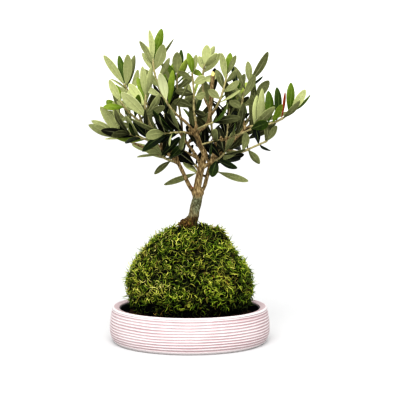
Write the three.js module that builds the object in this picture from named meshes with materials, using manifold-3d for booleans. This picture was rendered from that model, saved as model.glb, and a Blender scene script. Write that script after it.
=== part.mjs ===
// A young olive tree grown as a kokedama: a ball of peaty soil wrapped in living moss,
// standing in a shallow stoneware dish with a black inner tray.
//
// Millimetres, +Z up. The origin is the centre of the dish's flat underside.
// +X runs to the right and +Y away from the front of the plant.

import * as THREE from "three";
import { mergeVertices } from "three/addons/utils/BufferGeometryUtils.js";
import Module from "manifold-3d";

// Gap left between pieces that touch
const GAP = 0.3;

// Dish
const DISH_FOOT_RADIUS = 92;
const DISH_BELLY_RADIUS = 97.8;
const DISH_RIM_RADIUS = 94.4;
const DISH_HEIGHT = 43;
const WIDEST_HEIGHT = 16;
const FOOT_ROUNDING = 2.2;
const DISH_INNER_RADIUS = 85.5;
const DISH_FLOOR = 6;
const LIP_DROP = 2.2;
const RIB_COUNT = 11;
const RIB_PITCH = 3.28;
const RIB_DEPTH = 0.9;
const LOWEST_RIB = 3.1;
const TURNS = 28;

// Tray inside the dish
const TRAY_WALL = 1;
const TRAY_RIM = 40.5;

// Ball of soil
const SOIL_TOP = 138;
const SOIL_WALL_TOP = 18;
const SOIL_OPEN_RADIUS = 68;
const CRUMB = 0.9;

// Moss
const MOSS_FOOT = 38.3;
const MOSS_SHOULDER = 100;
const MOSS_HOLE_RADIUS = 16;
const MOSS_RELIEF = 2.6;

// Trunk foot
const ROOT_RADIUS = 7;
const ROOT_DEPTH = 22;
const ROOT_OVERLAP = 3;
const FLARE_RADIUS = 11.5;
const FLARE_HEIGHT = 13;
const FLARE_SHIFTS = [-2, 2.4];
const FOOT_SIDES = 10;

// Swelling where the limbs leave the trunk: its centre, and half its size each way
const FORK_PLACE = [9.6, 0, 182];
const FORK_SIZE = [7.8, 6.2, 8];

// Leaf blade
const BLADE_THICK = 0.9;
const PETIOLE_WIDTH = 1.2;
const FIRST_STATION = 0.36;
const SECOND_STATION = 0.7;

// Room kept round each blade, so that no two shoots cross, and beside a shown limb as it
// looks from the front
const CLEAR_ABOVE = 1.7;
const CLEAR_BESIDE = 1.1;
const CLEAR_WOOD = 1.3;
const CLEAR_SIGHT = 0.8;
const WOOD_SAMPLE = 3;
const SAMPLE_ROWS = 14;
const SAMPLE_PARTS = [-1, -0.5, 0, 0.5, 1];
const SHARED_ROOT = 0.28;
const OWN_TWIG = 0.3;
const NEARBY = 10;

// Places in the crown are given as they look from the front, at the plane of the trunk,
// with their depth: [across, height, depth]. The eye stands VIEW_DISTANCE away, so a point
// that lies nearer than the trunk is drawn in towards the line of sight. A leaf hides no
// limb that is more than VIEW_REACH from it.
const VIEW_ACROSS = 12.5;
const VIEW_HEIGHT = 285;
const VIEW_DISTANCE = 1500;
const VIEW_REACH = 110;

const COLOURS = {
  slip: 0xf1e6e4,
  tray: 0x17181a,
  soil: 0x4a3626,
  moss: 0x66802a,
  bark: 0x8d7358,
  leaf: 0x8f9a62,
};

const wasm = await Module();
wasm.setup();

const plant = new THREE.Group();

// Same stream of numbers on every run: a small 32-bit generator.
function randomStream(seed) {
  let state = seed >>> 0;
  return () => {
    state = (state + 0x6d2b79f5) >>> 0;
    let v = Math.imul(state ^ (state >>> 15), 1 | state);
    v = (v + Math.imul(v ^ (v >>> 7), 61 | v)) ^ v;
    return ((v ^ (v >>> 14)) >>> 0) / 4294967296;
  };
}

function between(low, high, share) {
  return low + (high - low) * share;
}

// A closed three.js geometry as a solid that can be joined or cut.
function solidOf(geometry) {
  const bare = geometry.clone();
  bare.deleteAttribute("normal");
  bare.deleteAttribute("uv");
  const merged = mergeVertices(bare, 1e-4);
  const mesh = new wasm.Mesh({
    numProp: 3,
    vertProperties: new Float32Array(merged.attributes.position.array),
    triVerts: new Uint32Array(merged.index.array),
  });
  return new wasm.Manifold(mesh);
}

function geometryOf(solid) {
  const mesh = solid.getMesh();
  const geometry = new THREE.BufferGeometry();
  geometry.setAttribute("position", new THREE.BufferAttribute(mesh.vertProperties, 3));
  geometry.setIndex(new THREE.BufferAttribute(mesh.triVerts, 1));
  geometry.computeVertexNormals();
  return geometry;
}

function join(solids) {
  return wasm.Manifold.union(solids);
}

function addPiece(name, geometry, colour, roughness) {
  const material = new THREE.MeshStandardMaterial({ color: colour, roughness, metalness: 0 });
  const mesh = new THREE.Mesh(geometry, material);
  mesh.name = name;
  plant.add(mesh);
}

// A profile of [radius, height] turned round the vertical axis.
function turned(profile) {
  const points = profile.map(([radius, height]) => new THREE.Vector2(radius, height));
  return new THREE.LatheGeometry(points, TURNS).rotateX(Math.PI / 2);
}

// Moves each vertex of a turned piece by a shift that depends on where it stands.
function shaped(geometry, shift) {
  const position = geometry.attributes.position;
  const point = new THREE.Vector3();
  for (let i = 0; i < position.count; i += 1) {
    point.fromBufferAttribute(position, i);
    shift(point);
    position.setXYZ(i, point.x, point.y, point.z);
  }
  return geometry;
}

// Radius of the dish wall at a height: a shallow arc that is widest below the middle.
function dishWall(height) {
  if (height < WIDEST_HEIGHT) {
    const down = (WIDEST_HEIGHT - height) / WIDEST_HEIGHT;
    return DISH_BELLY_RADIUS - (DISH_BELLY_RADIUS - DISH_FOOT_RADIUS) * down ** FOOT_ROUNDING;
  }
  const up = (height - WIDEST_HEIGHT) / (DISH_HEIGHT - LIP_DROP - WIDEST_HEIGHT);
  return DISH_BELLY_RADIUS - (DISH_BELLY_RADIUS - DISH_RIM_RADIUS) * up ** 2;
}

function makeDish() {
  const ribs = [];
  for (let rib = 0; rib < RIB_COUNT; rib += 1) {
    const ridge = LOWEST_RIB + rib * RIB_PITCH;
    ribs.push([dishWall(ridge), ridge]);
    const groove = ridge + RIB_PITCH / 2;
    ribs.push([dishWall(groove) - RIB_DEPTH, groove]);
  }
  const profile = [
    [0, 0],
    [DISH_FOOT_RADIUS - 3, 0],
    [DISH_FOOT_RADIUS, 1.6],
    ...ribs,
    [DISH_RIM_RADIUS, DISH_HEIGHT - LIP_DROP],
    [DISH_RIM_RADIUS - 2, DISH_HEIGHT],
    [DISH_INNER_RADIUS, DISH_HEIGHT - 1.2],
    [DISH_INNER_RADIUS, DISH_FLOOR],
    [0, DISH_FLOOR],
  ];
  addPiece("dish", turned(profile), COLOURS.slip, 0.45);
}

function makeTray() {
  const outer = DISH_INNER_RADIUS - GAP;
  const inner = outer - TRAY_WALL;
  const under = DISH_FLOOR + GAP;
  const profile = [
    [0, under],
    [outer, under],
    [outer, TRAY_RIM],
    [inner, TRAY_RIM],
    [inner, under + TRAY_WALL],
    [0, under + TRAY_WALL],
  ];
  addPiece("liner", turned(profile), COLOURS.tray, 0.35);
}

// Outline of the core under the moss, from the top down.
const CORE_OUTLINE = [
  [50, 112],
  [64, 84],
  [62, MOSS_FOOT - GAP],
];

// The open foot of the soil: it climbs from the tray's wall to the foot of the moss.
const SOIL_FOOT = [
  [79, 26],
  [72.5, 36],
  [66, MOSS_FOOT - 0.4],
];

function makeSoil() {
  const bottom = DISH_FLOOR + TRAY_WALL + 2 * GAP;
  const skirt = DISH_INNER_RADIUS - TRAY_WALL - 2 * GAP;
  const hole = ROOT_RADIUS + GAP;
  const profile = [
    [0, bottom],
    [skirt, bottom],
    [skirt, SOIL_WALL_TOP],
    ...SOIL_FOOT,
    ...[...CORE_OUTLINE].reverse(),
    [13, SOIL_TOP],
    [hole, SOIL_TOP],
    [hole, SOIL_TOP - ROOT_DEPTH],
    [0, SOIL_TOP - ROOT_DEPTH],
  ];
  const crumbled = shaped(turned(profile), (point) => {
    const radius = Math.hypot(point.x, point.y);
    if (radius < SOIL_OPEN_RADIUS || point.z < bottom + 1) return;
    const turn = Math.atan2(point.y, point.x);
    point.z += CRUMB * Math.sin(7 * turn + radius) * Math.cos(4 * turn);
  });
  addPiece("soil", crumbled, COLOURS.soil, 0.95);
}

// Outside of the moss, from the hole round the trunk down to the foot.
const MOSS_OUTLINE = [
  [MOSS_HOLE_RADIUS, 142],
  [25, 139],
  [37, 132.5],
  [48, 123],
  [57, 112.5],
  [65.5, 100.5],
  [72.5, 89],
  [77, 78],
  [78, 66],
  [76, 54],
  [73.5, 45],
  [71, MOSS_FOOT],
];

// The moss is a shell over the core. Its outside is raised in tufts: each ring and each
// spoke of the grid lifts or lowers by a fixed mix of waves, so that no two tufts match.
function makeMoss() {
  const inside = CORE_OUTLINE.map(([radius, height]) => [radius + GAP, height + GAP]);
  const [coreFoot] = CORE_OUTLINE[CORE_OUTLINE.length - 1];
  inside[inside.length - 1] = [coreFoot + 2 * GAP, MOSS_FOOT];
  const profile = [...MOSS_OUTLINE].reverse();
  profile.push([MOSS_HOLE_RADIUS, SOIL_TOP + 1.5], ...inside, MOSS_OUTLINE[MOSS_OUTLINE.length - 1]);
  const mossy = shaped(turned(profile), (point) => {
    const radius = Math.hypot(point.x, point.y);
    const row = MOSS_OUTLINE.findIndex(
      ([r, height]) => Math.abs(r - radius) < 0.01 && Math.abs(height - point.z) < 0.01,
    );
    if (row < 1 || row === MOSS_OUTLINE.length - 1) return;
    const turn = Math.atan2(point.y, point.x);
    const spoke = Math.floor((turn / (2 * Math.PI)) * TURNS + 0.25);
    const lift = Math.sin(spoke * 2.4 + row * 1.9) + Math.cos(spoke * 5.1 - row * 3.7);
    const raised = (lift * MOSS_RELIEF) / 2;
    point.x *= 1 + raised / radius;
    point.y *= 1 + raised / radius;
    if (point.z > MOSS_SHOULDER) point.z += raised * 0.6;
  });
  addPiece("moss", mossy, COLOURS.moss, 1);
}

// A place given as it looks from the front, turned into a real one.
function real([across, height, depth]) {
  const nearer = (VIEW_DISTANCE + depth) / VIEW_DISTANCE;
  return new THREE.Vector3(
    VIEW_ACROSS + (across - VIEW_ACROSS) * nearer,
    depth,
    VIEW_HEIGHT + (height - VIEW_HEIGHT) * nearer,
  );
}

function pathOf(places) {
  return new THREE.CatmullRomCurve3(places.map(real), false, "catmullrom", 0.5);
}

// Wood of round section along a curve from one share of its length to another, tapering
// evenly. A slant tips the end face, as a pruning cut does.
function wood(curve, radii, from, to, steps, sides, slant = 0) {
  const profile = [new THREE.Vector2(0, 0)];
  for (let step = 0; step <= steps; step += 1) profile.push(new THREE.Vector2(1, step));
  profile.push(new THREE.Vector2(0, steps));
  const rings = [];
  let across = null;
  for (let step = 0; step <= steps; step += 1) {
    const share = between(from, to, step / steps);
    const centre = curve.getPoint(share);
    const along = curve.getTangent(share);
    const start = Math.abs(along.y) > 0.9 ? new THREE.Vector3(1, 0, 0) : new THREE.Vector3(0, 1, 0);
    across = (across || start).clone().addScaledVector(along, -(across || start).dot(along));
    across.normalize();
    const beside = along.clone().cross(across);
    rings.push({ centre, along, across, beside, radius: between(radii[0], radii[1], share) });
  }
  const geometry = new THREE.LatheGeometry(profile, sides);
  shaped(geometry, (point) => {
    const step = Math.round(point.y);
    const ring = rings[step];
    const out = point.x * ring.radius;
    const round = point.z * ring.radius;
    const tip = step === steps ? out * slant : 0;
    point.copy(ring.centre).addScaledVector(ring.across, out);
    point.addScaledVector(ring.beside, -round).addScaledVector(ring.along, tip);
  });
  return solidOf(geometry);
}

// Limbs that belong to the trunk's piece: places, first and last radius, steps and sides.
// No leaf that grows by rule passes in front of a shown one.
const LIMBS = [
  {
    places: [[2, 146, 0], [4.6, 153, 0], [9.2, 174, 0], [8.8, 184, 0]],
    radii: [7, 5.7],
    steps: 4,
    sides: 8,
  },
  {
    places: [
      [8.4, 178, 0], [0.6, 188, -3], [-7, 203, -8], [-14.3, 218.6, -12],
      [-19, 230, -15], [-33, 234, -19],
    ],
    radii: [2.7, 1.9],
    steps: 5,
    sides: 5,
    shown: true,
  },
  {
    places: [
      [7.9, 181, 0], [9.8, 191, 0], [13.2, 208, 2], [16.6, 222, 2],
      [18, 228, 3], [13.4, 237, 3], [7.6, 254, 2], [8.3, 262, 2],
    ],
    radii: [4.9, 2.6],
    steps: 7,
    sides: 6,
    shown: true,
  },
  {
    places: [[9.5, 178, 2], [17, 187, 9], [23, 208, 15], [28, 226, 24], [36, 244, 38]],
    radii: [2.7, 1.9],
    steps: 5,
    sides: 5,
  },
  {
    places: [[-24, 232, -16.5], [-33, 236, -19], [-36, 246, -22], [-42, 254, -25]],
    radii: [1.9, 1.6],
    steps: 4,
    sides: 4,
  },
  {
    places: [[7.8, 252, 2], [-4.8, 266.5, -4], [-12, 271, -7]],
    radii: [1.9, 1.5],
    steps: 4,
    sides: 4,
    shown: true,
  },
  {
    places: [[8, 253, 2], [20, 263, 0], [23.4, 270, 0], [25.8, 293, -4], [28.2, 325, -8]],
    radii: [2.3, 2.6],
    steps: 5,
    sides: 6,
    slant: 1.3,
    shown: true,
  },
  {
    places: [
      [14, 210, 2], [31.8, 222.5, -4], [46.9, 238, -10], [64.5, 255.7, -14],
      [66.9, 261, -15],
    ],
    radii: [2.3, 1.6],
    steps: 5,
    sides: 5,
    shown: true,
  },
  {
    places: [[13.4, 210, 2], [9, 224, 22], [-4, 242, 42], [-12, 254, 52]],
    radii: [2.3, 1.6],
    steps: 4,
    sides: 4,
  },
  {
    places: [[-12, 214, -10], [-28, 230, 8], [-46, 245, 26], [-56, 254, 34]],
    radii: [2, 1.6],
    steps: 4,
    sides: 4,
  },
  {
    places: [[15, 234, 3], [8, 248, -20], [-1, 258, -38]],
    radii: [1.9, 1.5],
    steps: 4,
    sides: 4,
  },
  {
    places: [[31, 222, -4], [36, 238, -26], [38, 249, -40]],
    radii: [1.9, 1.5],
    steps: 4,
    sides: 4,
  },
];

// Shoots. The places of a shoot's twig run from the limb that it grows on to its tip, and
// the piece of the trunk ends at the place numbered by the cut. Each leaf is given as
// [share of the twig, tip across, tip height, width, turn, lean]: turn is how far the upper
// face is turned from the front in degrees, and lean is how far back the tip lies from the base.
const FRONT_SHOOTS = [
  {
    name: "shoot_left_low",
    places: [
      [-31, 233.5, -18], [-53, 235.5, -24], [-67, 241, -28], [-78, 245, -31],
      [-88, 248, -33],
    ],
    cut: 2,
    leaves: [
      [0.99, -122.5, 263.5, 10, 25, -6],
      [0.97, -119, 268.5, 9, 160, 14],
      [0.9, -107.9, 285.9, 11, 165, -16],
      [0.86, -92.2, 292.3, 8, 30, 10],
      [0.76, -103, 246, 8, 75, 12],
      [0.7, -84.5, 262, 9, 50, -14],
      [0.64, -72, 266, 9, 140, 16],
    ],
  },
  {
    name: "shoot_left_outer",
    places: [
      [-41, 252.5, -24.5], [-54, 262, -31], [-66, 272, -38], [-76, 281, -42],
      [-83, 291, -44],
    ],
    cut: 1,
    leaves: [
      [0.98, -97, 318, 9, 160, -6],
      [0.99, -89, 312, 7, 20, 8],
      [0.84, -104.5, 284.5, 9, 35, -10],
      [0.8, -70, 310, 9, 150, 12],
      [0.6, -90, 264, 9, 60, -16],
      [0.5, -62, 300, 9, 30, -18],
    ],
  },
  {
    name: "shoot_left_inner",
    places: [[-39, 250, -23.5], [-47, 262, -34], [-52, 274, -42], [-54, 287, -46], [-53, 299, -46]],
    cut: 1,
    leaves: [
      [0.45, -82.6, 302.5, 13, 165, -14],
      [0.7, -73.4, 313.3, 10, 170, -8],
      [0.75, -63.4, 321, 8, 20, 6],
      [0.98, -46.5, 333.4, 9, 40, -4],
      [0.95, -57, 334, 9, 150, 8],
      [0.55, -36, 300, 9, 30, 12],
      [0.5, -30, 286, 9, 200, -20],
    ],
  },
  {
    name: "shoot_left_top",
    places: [[-50, 248.5, 29.5], [-56, 262, 26], [-63, 281, 12], [-71, 298, 2], [-79, 312, -4]],
    cut: 1,
    leaves: [
      [0.97, -103.7, 347.3, 9, 160, -8],
      [0.99, -85, 347, 8, 15, 4],
      [0.94, -74.2, 348.4, 11, 165, -12],
      [0.9, -66.2, 347.3, 8, 30, 10],
      [0.8, -62, 330, 8, 150, -6],
      [0.84, -96.2, 319, 5.5, 60, 8],
      [0.7, -90, 310, 9, 130, -10],
      [0.6, -52, 318, 9, 40, 12],
      [0.5, -88, 292, 9, 200, 16],
    ],
  },
  {
    name: "shoot_crown_left",
    places: [
      [-8, 269.5, -6], [-17, 277, -10], [-26, 288, -14], [-36, 306, -16],
      [-42, 325, -14], [-44.5, 342, -12],
    ],
    cut: 1,
    leaves: [
      [0.97, -48.4, 377.5, 7, 165, -4],
      [0.99, -33.3, 378.9, 10, 20, 6],
      [0.84, -31.1, 360, 12.5, 165, -10],
      [0.8, -57, 350, 8, 25, 12],
      [0.93, -60.4, 364.2, 7, 155, 4],
      [0.7, -24, 344, 8, 40, 14],
      [0.62, -58, 331, 9, 170, -14],
      [0.44, -35.6, 326, 11, 168, -20],
      [0.38, -20.2, 330, 8, 20, -4],
      [0.32, -2, 313, 6, 70, -12],
      [0.5, -60, 312, 9, 140, 16],
      [0.9, -19, 367, 6, 60, 8],
      [0.86, -52, 358, 9, 160, 8],
    ],
  },
  {
    name: "shoot_crown_back",
    places: [[-9, 251, 50], [-10, 266, 46], [-13, 287, 36], [-15, 307, 26], [-15, 325, 18]],
    cut: 1,
    leaves: [
      [0.98, -15, 351, 11, 165, -4],
      [0.99, -10, 354, 7, 30, 6],
      [0.9, -3.3, 343, 8, 20, -8],
      [0.85, -28, 338, 8, 40, 8],
      [0.74, 4, 322, 9, 150, 10],
      [0.7, -34, 318, 9, 20, -10],
      [0.5, 6, 302, 9, 40, -14],
      [0.5, -32, 300, 9, 160, 14],
    ],
  },
  {
    name: "shoot_crown_middle",
    places: [[8.2, 259, 2], [7, 268, 4], [5, 284, 6], [5, 300, 4], [4, 316, 2], [3, 325, 0]],
    cut: 1,
    leaves: [
      [0.99, -2, 350, 9, 25, 4],
      [0.98, 8, 348, 9, 150, -6],
      [0.8, -14, 328, 8, 150, -6],
      [0.76, 20, 320, 10, 165, -8],
      [0.6, -18, 304, 9, 20, -12],
      [0.56, 19, 300, 9, 160, -14],
      [0.4, -20, 292, 10, 165, -16],
      [0.36, 20, 274, 9, 25, -10],
    ],
  },
  {
    name: "shoot_crown_right",
    places: [[24.6, 282, -2], [19, 293, 4], [15.5, 310, 8], [16, 324, 8], [18, 335, 6]],
    cut: 1,
    leaves: [
      [0.98, 21, 359.5, 11, 165, -4],
      [0.99, 30, 358, 8, 25, 6],
      [0.86, 11, 346, 8, 160, -8],
      [0.84, 29, 344, 9, 40, 10],
      [0.7, 4, 330, 8, 30, 12],
      [0.62, 32, 322, 9, 155, 14],
      [0.78, 37.5, 349.5, 9, 165, -10],
      [0.95, 33, 350, 8, 20, -8],
    ],
  },
  {
    name: "shoot_right_upper",
    places: [[23.8, 272, 0], [32, 284, -8], [38, 297, -14], [42, 311, -16], [45, 324, -16]],
    cut: 1,
    leaves: [
      [0.98, 49.2, 350, 9, 20, 4],
      [0.99, 56, 347, 7, 150, -4],
      [0.86, 38.5, 350, 8, 160, -6],
      [0.8, 58, 330, 8, 30, 8],
      [0.66, 32, 330, 9, 25, 8],
      [0.6, 60, 316, 8, 160, -10],
      [0.45, 23, 306, 9, 165, -12],
      [0.36, 61.6, 305, 9, 110, -14],
    ],
  },
  {
    name: "shoot_right_top",
    places: [[66.6, 260, -15], [64.6, 272, -14], [63, 288, -10], [66, 302, -8], [72, 315, -8]],
    cut: 1,
    leaves: [
      [0.98, 94.6, 351.4, 9, 160, -6],
      [0.99, 70, 340, 8, 165, 4],
      [0.85, 88.2, 322, 8, 75, -10],
      [0.8, 54, 334, 8, 40, 8],
      [0.62, 78.9, 323, 9, 160, -12],
      [0.6, 50, 312, 8, 20, -8],
      [0.45, 84, 300, 9, 140, 6],
      [0.42, 48, 292, 9, 165, -10],
    ],
  },
  {
    name: "shoot_right_long",
    places: [
      [65.5, 258, -14.5], [73, 261, -17], [84, 262.5, -20], [99.6, 265.4, -23],
      [112, 271, -25], [122.8, 279, -26],
    ],
    cut: 1,
    leaves: [
      [0.3, 81.4, 299.2, 8, 20, -6],
      [0.42, 96.7, 303, 9, 150, 8],
      [0.54, 95, 304.5, 10.5, 20, 12],
      [0.68, 105.3, 308.9, 9.5, 30, 4],
      [0.78, 115.3, 303, 6, 60, 12],
      [0.94, 122.2, 314.5, 10, 20, 6],
      [0.98, 140, 306, 10, 160, -8],
      [0.8, 133, 293, 8, 30, -14],
      [0.99, 146, 300, 7, 55, 4],
      [0.6, 112, 288, 8, 155, -12],
      [0.36, 87.5, 307.5, 9, 25, 12],
      [0.24, 74, 300, 9, 160, 10],
    ],
  },
  {
    name: "shoot_right_low",
    places: [[42, 233, -8], [52, 231.5, -15], [64, 231, -20], [78, 237, -25], [93, 243.5, -28]],
    cut: 1,
    leaves: [
      [0.99, 105.6, 262, 8, 150, -20],
      [0.97, 92.3, 263, 8, 30, 16],
      [0.84, 78.5, 261, 8, 25, 10],
      [0.86, 98, 232, 7, 60, 14],
      [0.62, 84.7, 216, 9, 30, 4],
      [0.5, 69, 254, 9, 160, -14],
      [0.62, 58, 258, 8, 30, 12],
      [0.4, 40, 222, 9, 150, -10],
    ],
  },
  {
    name: "shoot_under_left",
    places: [[-13, 216, -10], [-20, 219, -15], [-28, 222, -19], [-38, 227, -22]],
    cut: 1,
    leaves: [
      [0.45, -43, 203.5, 7, 20, -4],
      [0.6, -54, 233, 9, 150, -12],
      [0.7, -8, 231, 8, 70, -18],
      [0.98, -70, 240, 9, 30, 4],
      [0.97, -64, 224, 8, 75, -10],
      [0.75, -26, 250, 9, 160, -14],
      [0.55, -8, 240, 9, 25, 4],
      [0.85, -52, 250, 9, 150, -10],
      [0.9, -12, 249, 9, 20, -6],
    ],
  },
  {
    name: "shoot_under_right",
    places: [[24, 214, -1], [31, 219, -12], [36, 223, -20], [42, 229, -27]],
    cut: 1,
    leaves: [
      [0.45, 27, 200, 11, 15, -4],
      [0.6, 62, 222, 8, 40, -6],
      [0.5, 58, 211, 8, 25, -14],
      [0.9, 68, 234, 8, 60, -16],
      [0.98, 54, 257, 9, 40, -8],
      [0.97, 34, 262, 10, 160, 6],
      [0.8, 72, 242, 9, 150, -8],
      [0.7, 18, 244, 9, 30, -12],
    ],
  },
  {
    name: "shoot_trunk_left",
    places: [[21.5, 200, 13], [15, 202.5, 17], [8, 205, 18]],
    cut: 1,
    leaves: [
      [0.98, -31.5, 190.5, 8.5, 150, 2],
      [0.8, -8, 219, 8, 30, 8],
    ],
  },
  {
    name: "shoot_trunk_right",
    places: [[22, 203, 14], [28, 205.5, 17], [34, 206.5, 18]],
    cut: 1,
    leaves: [
      [0.98, 71.5, 195, 8.5, 150, -2],
    ],
  },
];

// Shoots that grow by rule: leaves stand in crosswise pairs up the twig.
const RULE_SHOOTS = [
  {
    name: "shoot_back_1",
    places: [[-52, 250, 31], [-62, 257, 40], [-73, 266, 48], [-84, 277, 54]],
    pairs: 3,
  },
  {
    name: "shoot_back_2",
    places: [[-42, 242, 22], [-44, 254, 34], [-48, 272, 46], [-52, 290, 52]],
    pairs: 3,
  },
  {
    name: "shoot_back_3",
    places: [[-10, 251, 50], [-18, 266, 55], [-24, 288, 55], [-24, 312, 50]],
    pairs: 4,
  },
  {
    name: "shoot_back_4",
    places: [[-2, 240, 40], [4, 250, 54], [6, 270, 66], [4, 292, 74]],
    pairs: 4,
  },
  {
    name: "shoot_back_5",
    places: [[33, 237, 33], [28, 250, 42], [26, 270, 52], [26, 296, 56]],
    pairs: 3,
  },
  {
    name: "shoot_back_6",
    places: [[35, 242, 37], [44, 254, 44], [52, 274, 48], [56, 298, 48]],
    pairs: 3,
  },
  {
    name: "shoot_back_7",
    places: [[31, 232, 29], [46, 240, 42], [64, 252, 52], [84, 266, 56]],
    pairs: 3,
  },
  {
    name: "shoot_back_8",
    places: [[50, 242, -10], [60, 252, 8], [72, 272, 20], [80, 292, 26]],
    pairs: 3,
  },
  {
    name: "shoot_back_9",
    places: [[10, 222, 20], [-4, 230, 34], [-20, 236, 52], [-34, 246, 66]],
    pairs: 3,
  },
  {
    name: "shoot_middle_1",
    places: [[-24, 232, -17], [-26, 242, -8], [-29, 258, 2], [-30, 276, 8]],
    pairs: 4,
  },
  {
    name: "shoot_middle_3",
    places: [[44, 234, -9], [44, 246, -2], [46, 262, 4], [48, 282, 8]],
    pairs: 4,
  },
  {
    name: "shoot_middle_2",
    places: [[24, 214, 17], [20, 226, 28], [16, 238, 42], [13, 250, 58]],
    pairs: 6,
  },
  {
    name: "shoot_back_10",
    places: [[28, 226, 24], [40, 230, 36], [54, 236, 44], [70, 246, 48]],
    pairs: 5,
  },
  {
    name: "shoot_low_1",
    places: [[12.4, 205, 2], [8, 213, 16], [-1, 221, 32], [-8, 229, 50]],
    pairs: 6,
  },
  {
    name: "shoot_low_2",
    places: [[23, 208, 15], [28, 214, 28], [35, 222, 42], [42, 230, 58]],
    pairs: 6,
  },
  {
    name: "shoot_front_1",
    places: [[4, 252, -28], [-6, 254, -44], [-17, 254, -55], [-30, 253, -62]],
    pairs: 4,
  },
  {
    name: "shoot_front_2",
    places: [[5, 251, -26], [10, 258, -42], [18, 262, -54], [28, 266, -62]],
    pairs: 4,
  },
  {
    name: "shoot_front_3",
    places: [[37, 243, -33], [35, 244, -46], [28, 243, -57], [16, 240, -66]],
    pairs: 4,
  },
  {
    name: "shoot_front_4",
    places: [[37, 244, -34], [48, 248, -47], [60, 252, -57], [74, 258, -65]],
    pairs: 3,
  },
  {
    name: "shoot_front_5",
    places: [[-35, 243, -21], [-45, 245, -36], [-58, 247, -49], [-72, 252, -59]],
    pairs: 4,
  },
];

const TWIG_RADII = [1.7, 1.05];
const TWIG_SIDES = 4;
const RULE_CUT = 1;
const SMALL_SHARE = 0.01;
const RULE_TRIES = 40;
const FIRST_PAIR = 0.37;
const LEAF_LENGTHS = [31, 45];
const LEAF_WIDTHS = [8.5, 12];
const LEAF_ANGLES = [34, 62];
const LEAF_BOWS = [0.01, 0.09];
const LEAF_RISE = 0.22;
const PAIR_STRAY = 0.5;
const TIP_CLOSING = 0.6;
const FIRST_SEED = 101;
const SEED_STEP = 17;

// Outline of the crown as it looks from the front: no leaf that grows by rule passes it.
const CROWN_EDGE = [
  [-22, 220],
  [-58, 230],
  [-98, 246],
  [-119, 262],
  [-106, 290],
  [-102, 340],
  [-60, 349],
  [-46, 376],
  [-30, 374],
  [-12, 352],
  [30, 356],
  [54, 346],
  [68, 338],
  [90, 346],
  [92, 320],
  [110, 308],
  [134, 300],
  [122, 272],
  [84, 262],
  [70, 248],
  [68, 228],
  [40, 216],
  [10, 214],
];

// A real place as it looks from the front, at the plane of the trunk.
function seen(place) {
  const nearer = (VIEW_DISTANCE + place.y) / VIEW_DISTANCE;
  const across = VIEW_ACROSS + (place.x - VIEW_ACROSS) / nearer;
  const height = VIEW_HEIGHT + (place.z - VIEW_HEIGHT) / nearer;
  return new THREE.Vector2(across, height);
}

// Counts how often a line to the right of the place crosses the outline: odd is inside.
function inCrown(place) {
  const { x: across, y: height } = seen(place);
  const crossed = CROWN_EDGE.filter(([x, z], i) => {
    const [nextX, nextZ] = CROWN_EDGE[(i + 1) % CROWN_EDGE.length];
    if (z > height === nextZ > height) return false;
    return across < x + ((nextX - x) * (height - z)) / (nextZ - z);
  });
  return crossed.length % 2 === 1;
}

// Half the width of a blade at a share of its length: narrow at the stalk and at the tip.
function halfWidth(leaf, share) {
  if (share < FIRST_STATION) return between(PETIOLE_WIDTH, leaf.width, share / FIRST_STATION) / 2;
  if (share < SECOND_STATION) return leaf.width / 2;
  return (leaf.width / 2) * Math.max(0, (1 - share) / (1 - SECOND_STATION));
}

function bladePoint(leaf, share, sideways, up) {
  const lift = leaf.bow * leaf.length * 4 * share * (1 - share) + up;
  return leaf.base
    .clone()
    .addScaledVector(leaf.along, share * leaf.length)
    .addScaledVector(leaf.side, sideways)
    .addScaledVector(leaf.face, lift);
}

// A blade from its base, its tip, the way its upper face looks, its width and its bow.
function leafFrom(base, tip, facing, width, bow) {
  const along = tip.clone().sub(base);
  const length = along.length();
  along.normalize();
  const face = facing.clone().addScaledVector(along, -facing.dot(along)).normalize();
  const side = along.clone().cross(face);
  const leaf = { base, along, face, side, length, width, bow };
  leaf.centre = base.clone().addScaledVector(along, length / 2);
  leaf.points = [];
  for (let row = 1; row <= SAMPLE_ROWS; row += 1) {
    const share = row / SAMPLE_ROWS;
    for (const part of SAMPLE_PARTS) {
      leaf.points.push({ share, place: bladePoint(leaf, share, part * halfWidth(leaf, share), 0) });
    }
  }
  return leaf;
}

// True where a point lies in the room kept round a blade.
function inRoomOf(leaf, place, rootShare) {
  const away = place.clone().sub(leaf.base);
  const share = away.dot(leaf.along) / leaf.length;
  if (share < rootShare || share > 1.04) return false;
  const within = Math.min(share, 1);
  if (Math.abs(away.dot(leaf.side)) > halfWidth(leaf, within) + CLEAR_BESIDE) return false;
  const lift = leaf.bow * leaf.length * 4 * within * (1 - within);
  return Math.abs(away.dot(leaf.face) - lift) < CLEAR_ABOVE;
}

// Blades of one shoot share a twig, so the first part of each may lie close together.
function leavesMeet(a, b) {
  const reach = (a.length + b.length) / 2 + NEARBY;
  if (a.centre.distanceTo(b.centre) > reach) return false;
  const rootShare = a.shoot === b.shoot ? SHARED_ROOT : 0;
  const meets = (leaf, other) =>
    other.points.some(({ share, place }) => share >= rootShare && inRoomOf(leaf, place, rootShare));
  return meets(a, b) || meets(b, a);
}

function meetsWood(leaf, woodPoints) {
  return woodPoints.some(({ place, radius, owner, share }) => {
    if (owner === leaf.shoot && share > leaf.twigShare - OWN_TWIG) return false;
    if (place.distanceTo(leaf.centre) > leaf.length / 2 + NEARBY) return false;
    return leaf.points.some((sample) => sample.place.distanceTo(place) < radius + CLEAR_WOOD);
  });
}

// True where a blade passes in front of a limb that is to show.
function hidesLimb(leaf, woodPoints) {
  const blade = leaf.points.map(({ place }) => ({ depth: place.y, spot: seen(place) }));
  return woodPoints.some(({ place, radius, shown }) => {
    if (!shown || place.distanceTo(leaf.centre) > VIEW_REACH) return false;
    const limb = seen(place);
    const room = radius + CLEAR_SIGHT;
    return blade.some(({ depth, spot }) => depth < place.y && spot.distanceTo(limb) < room);
  });
}

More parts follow.
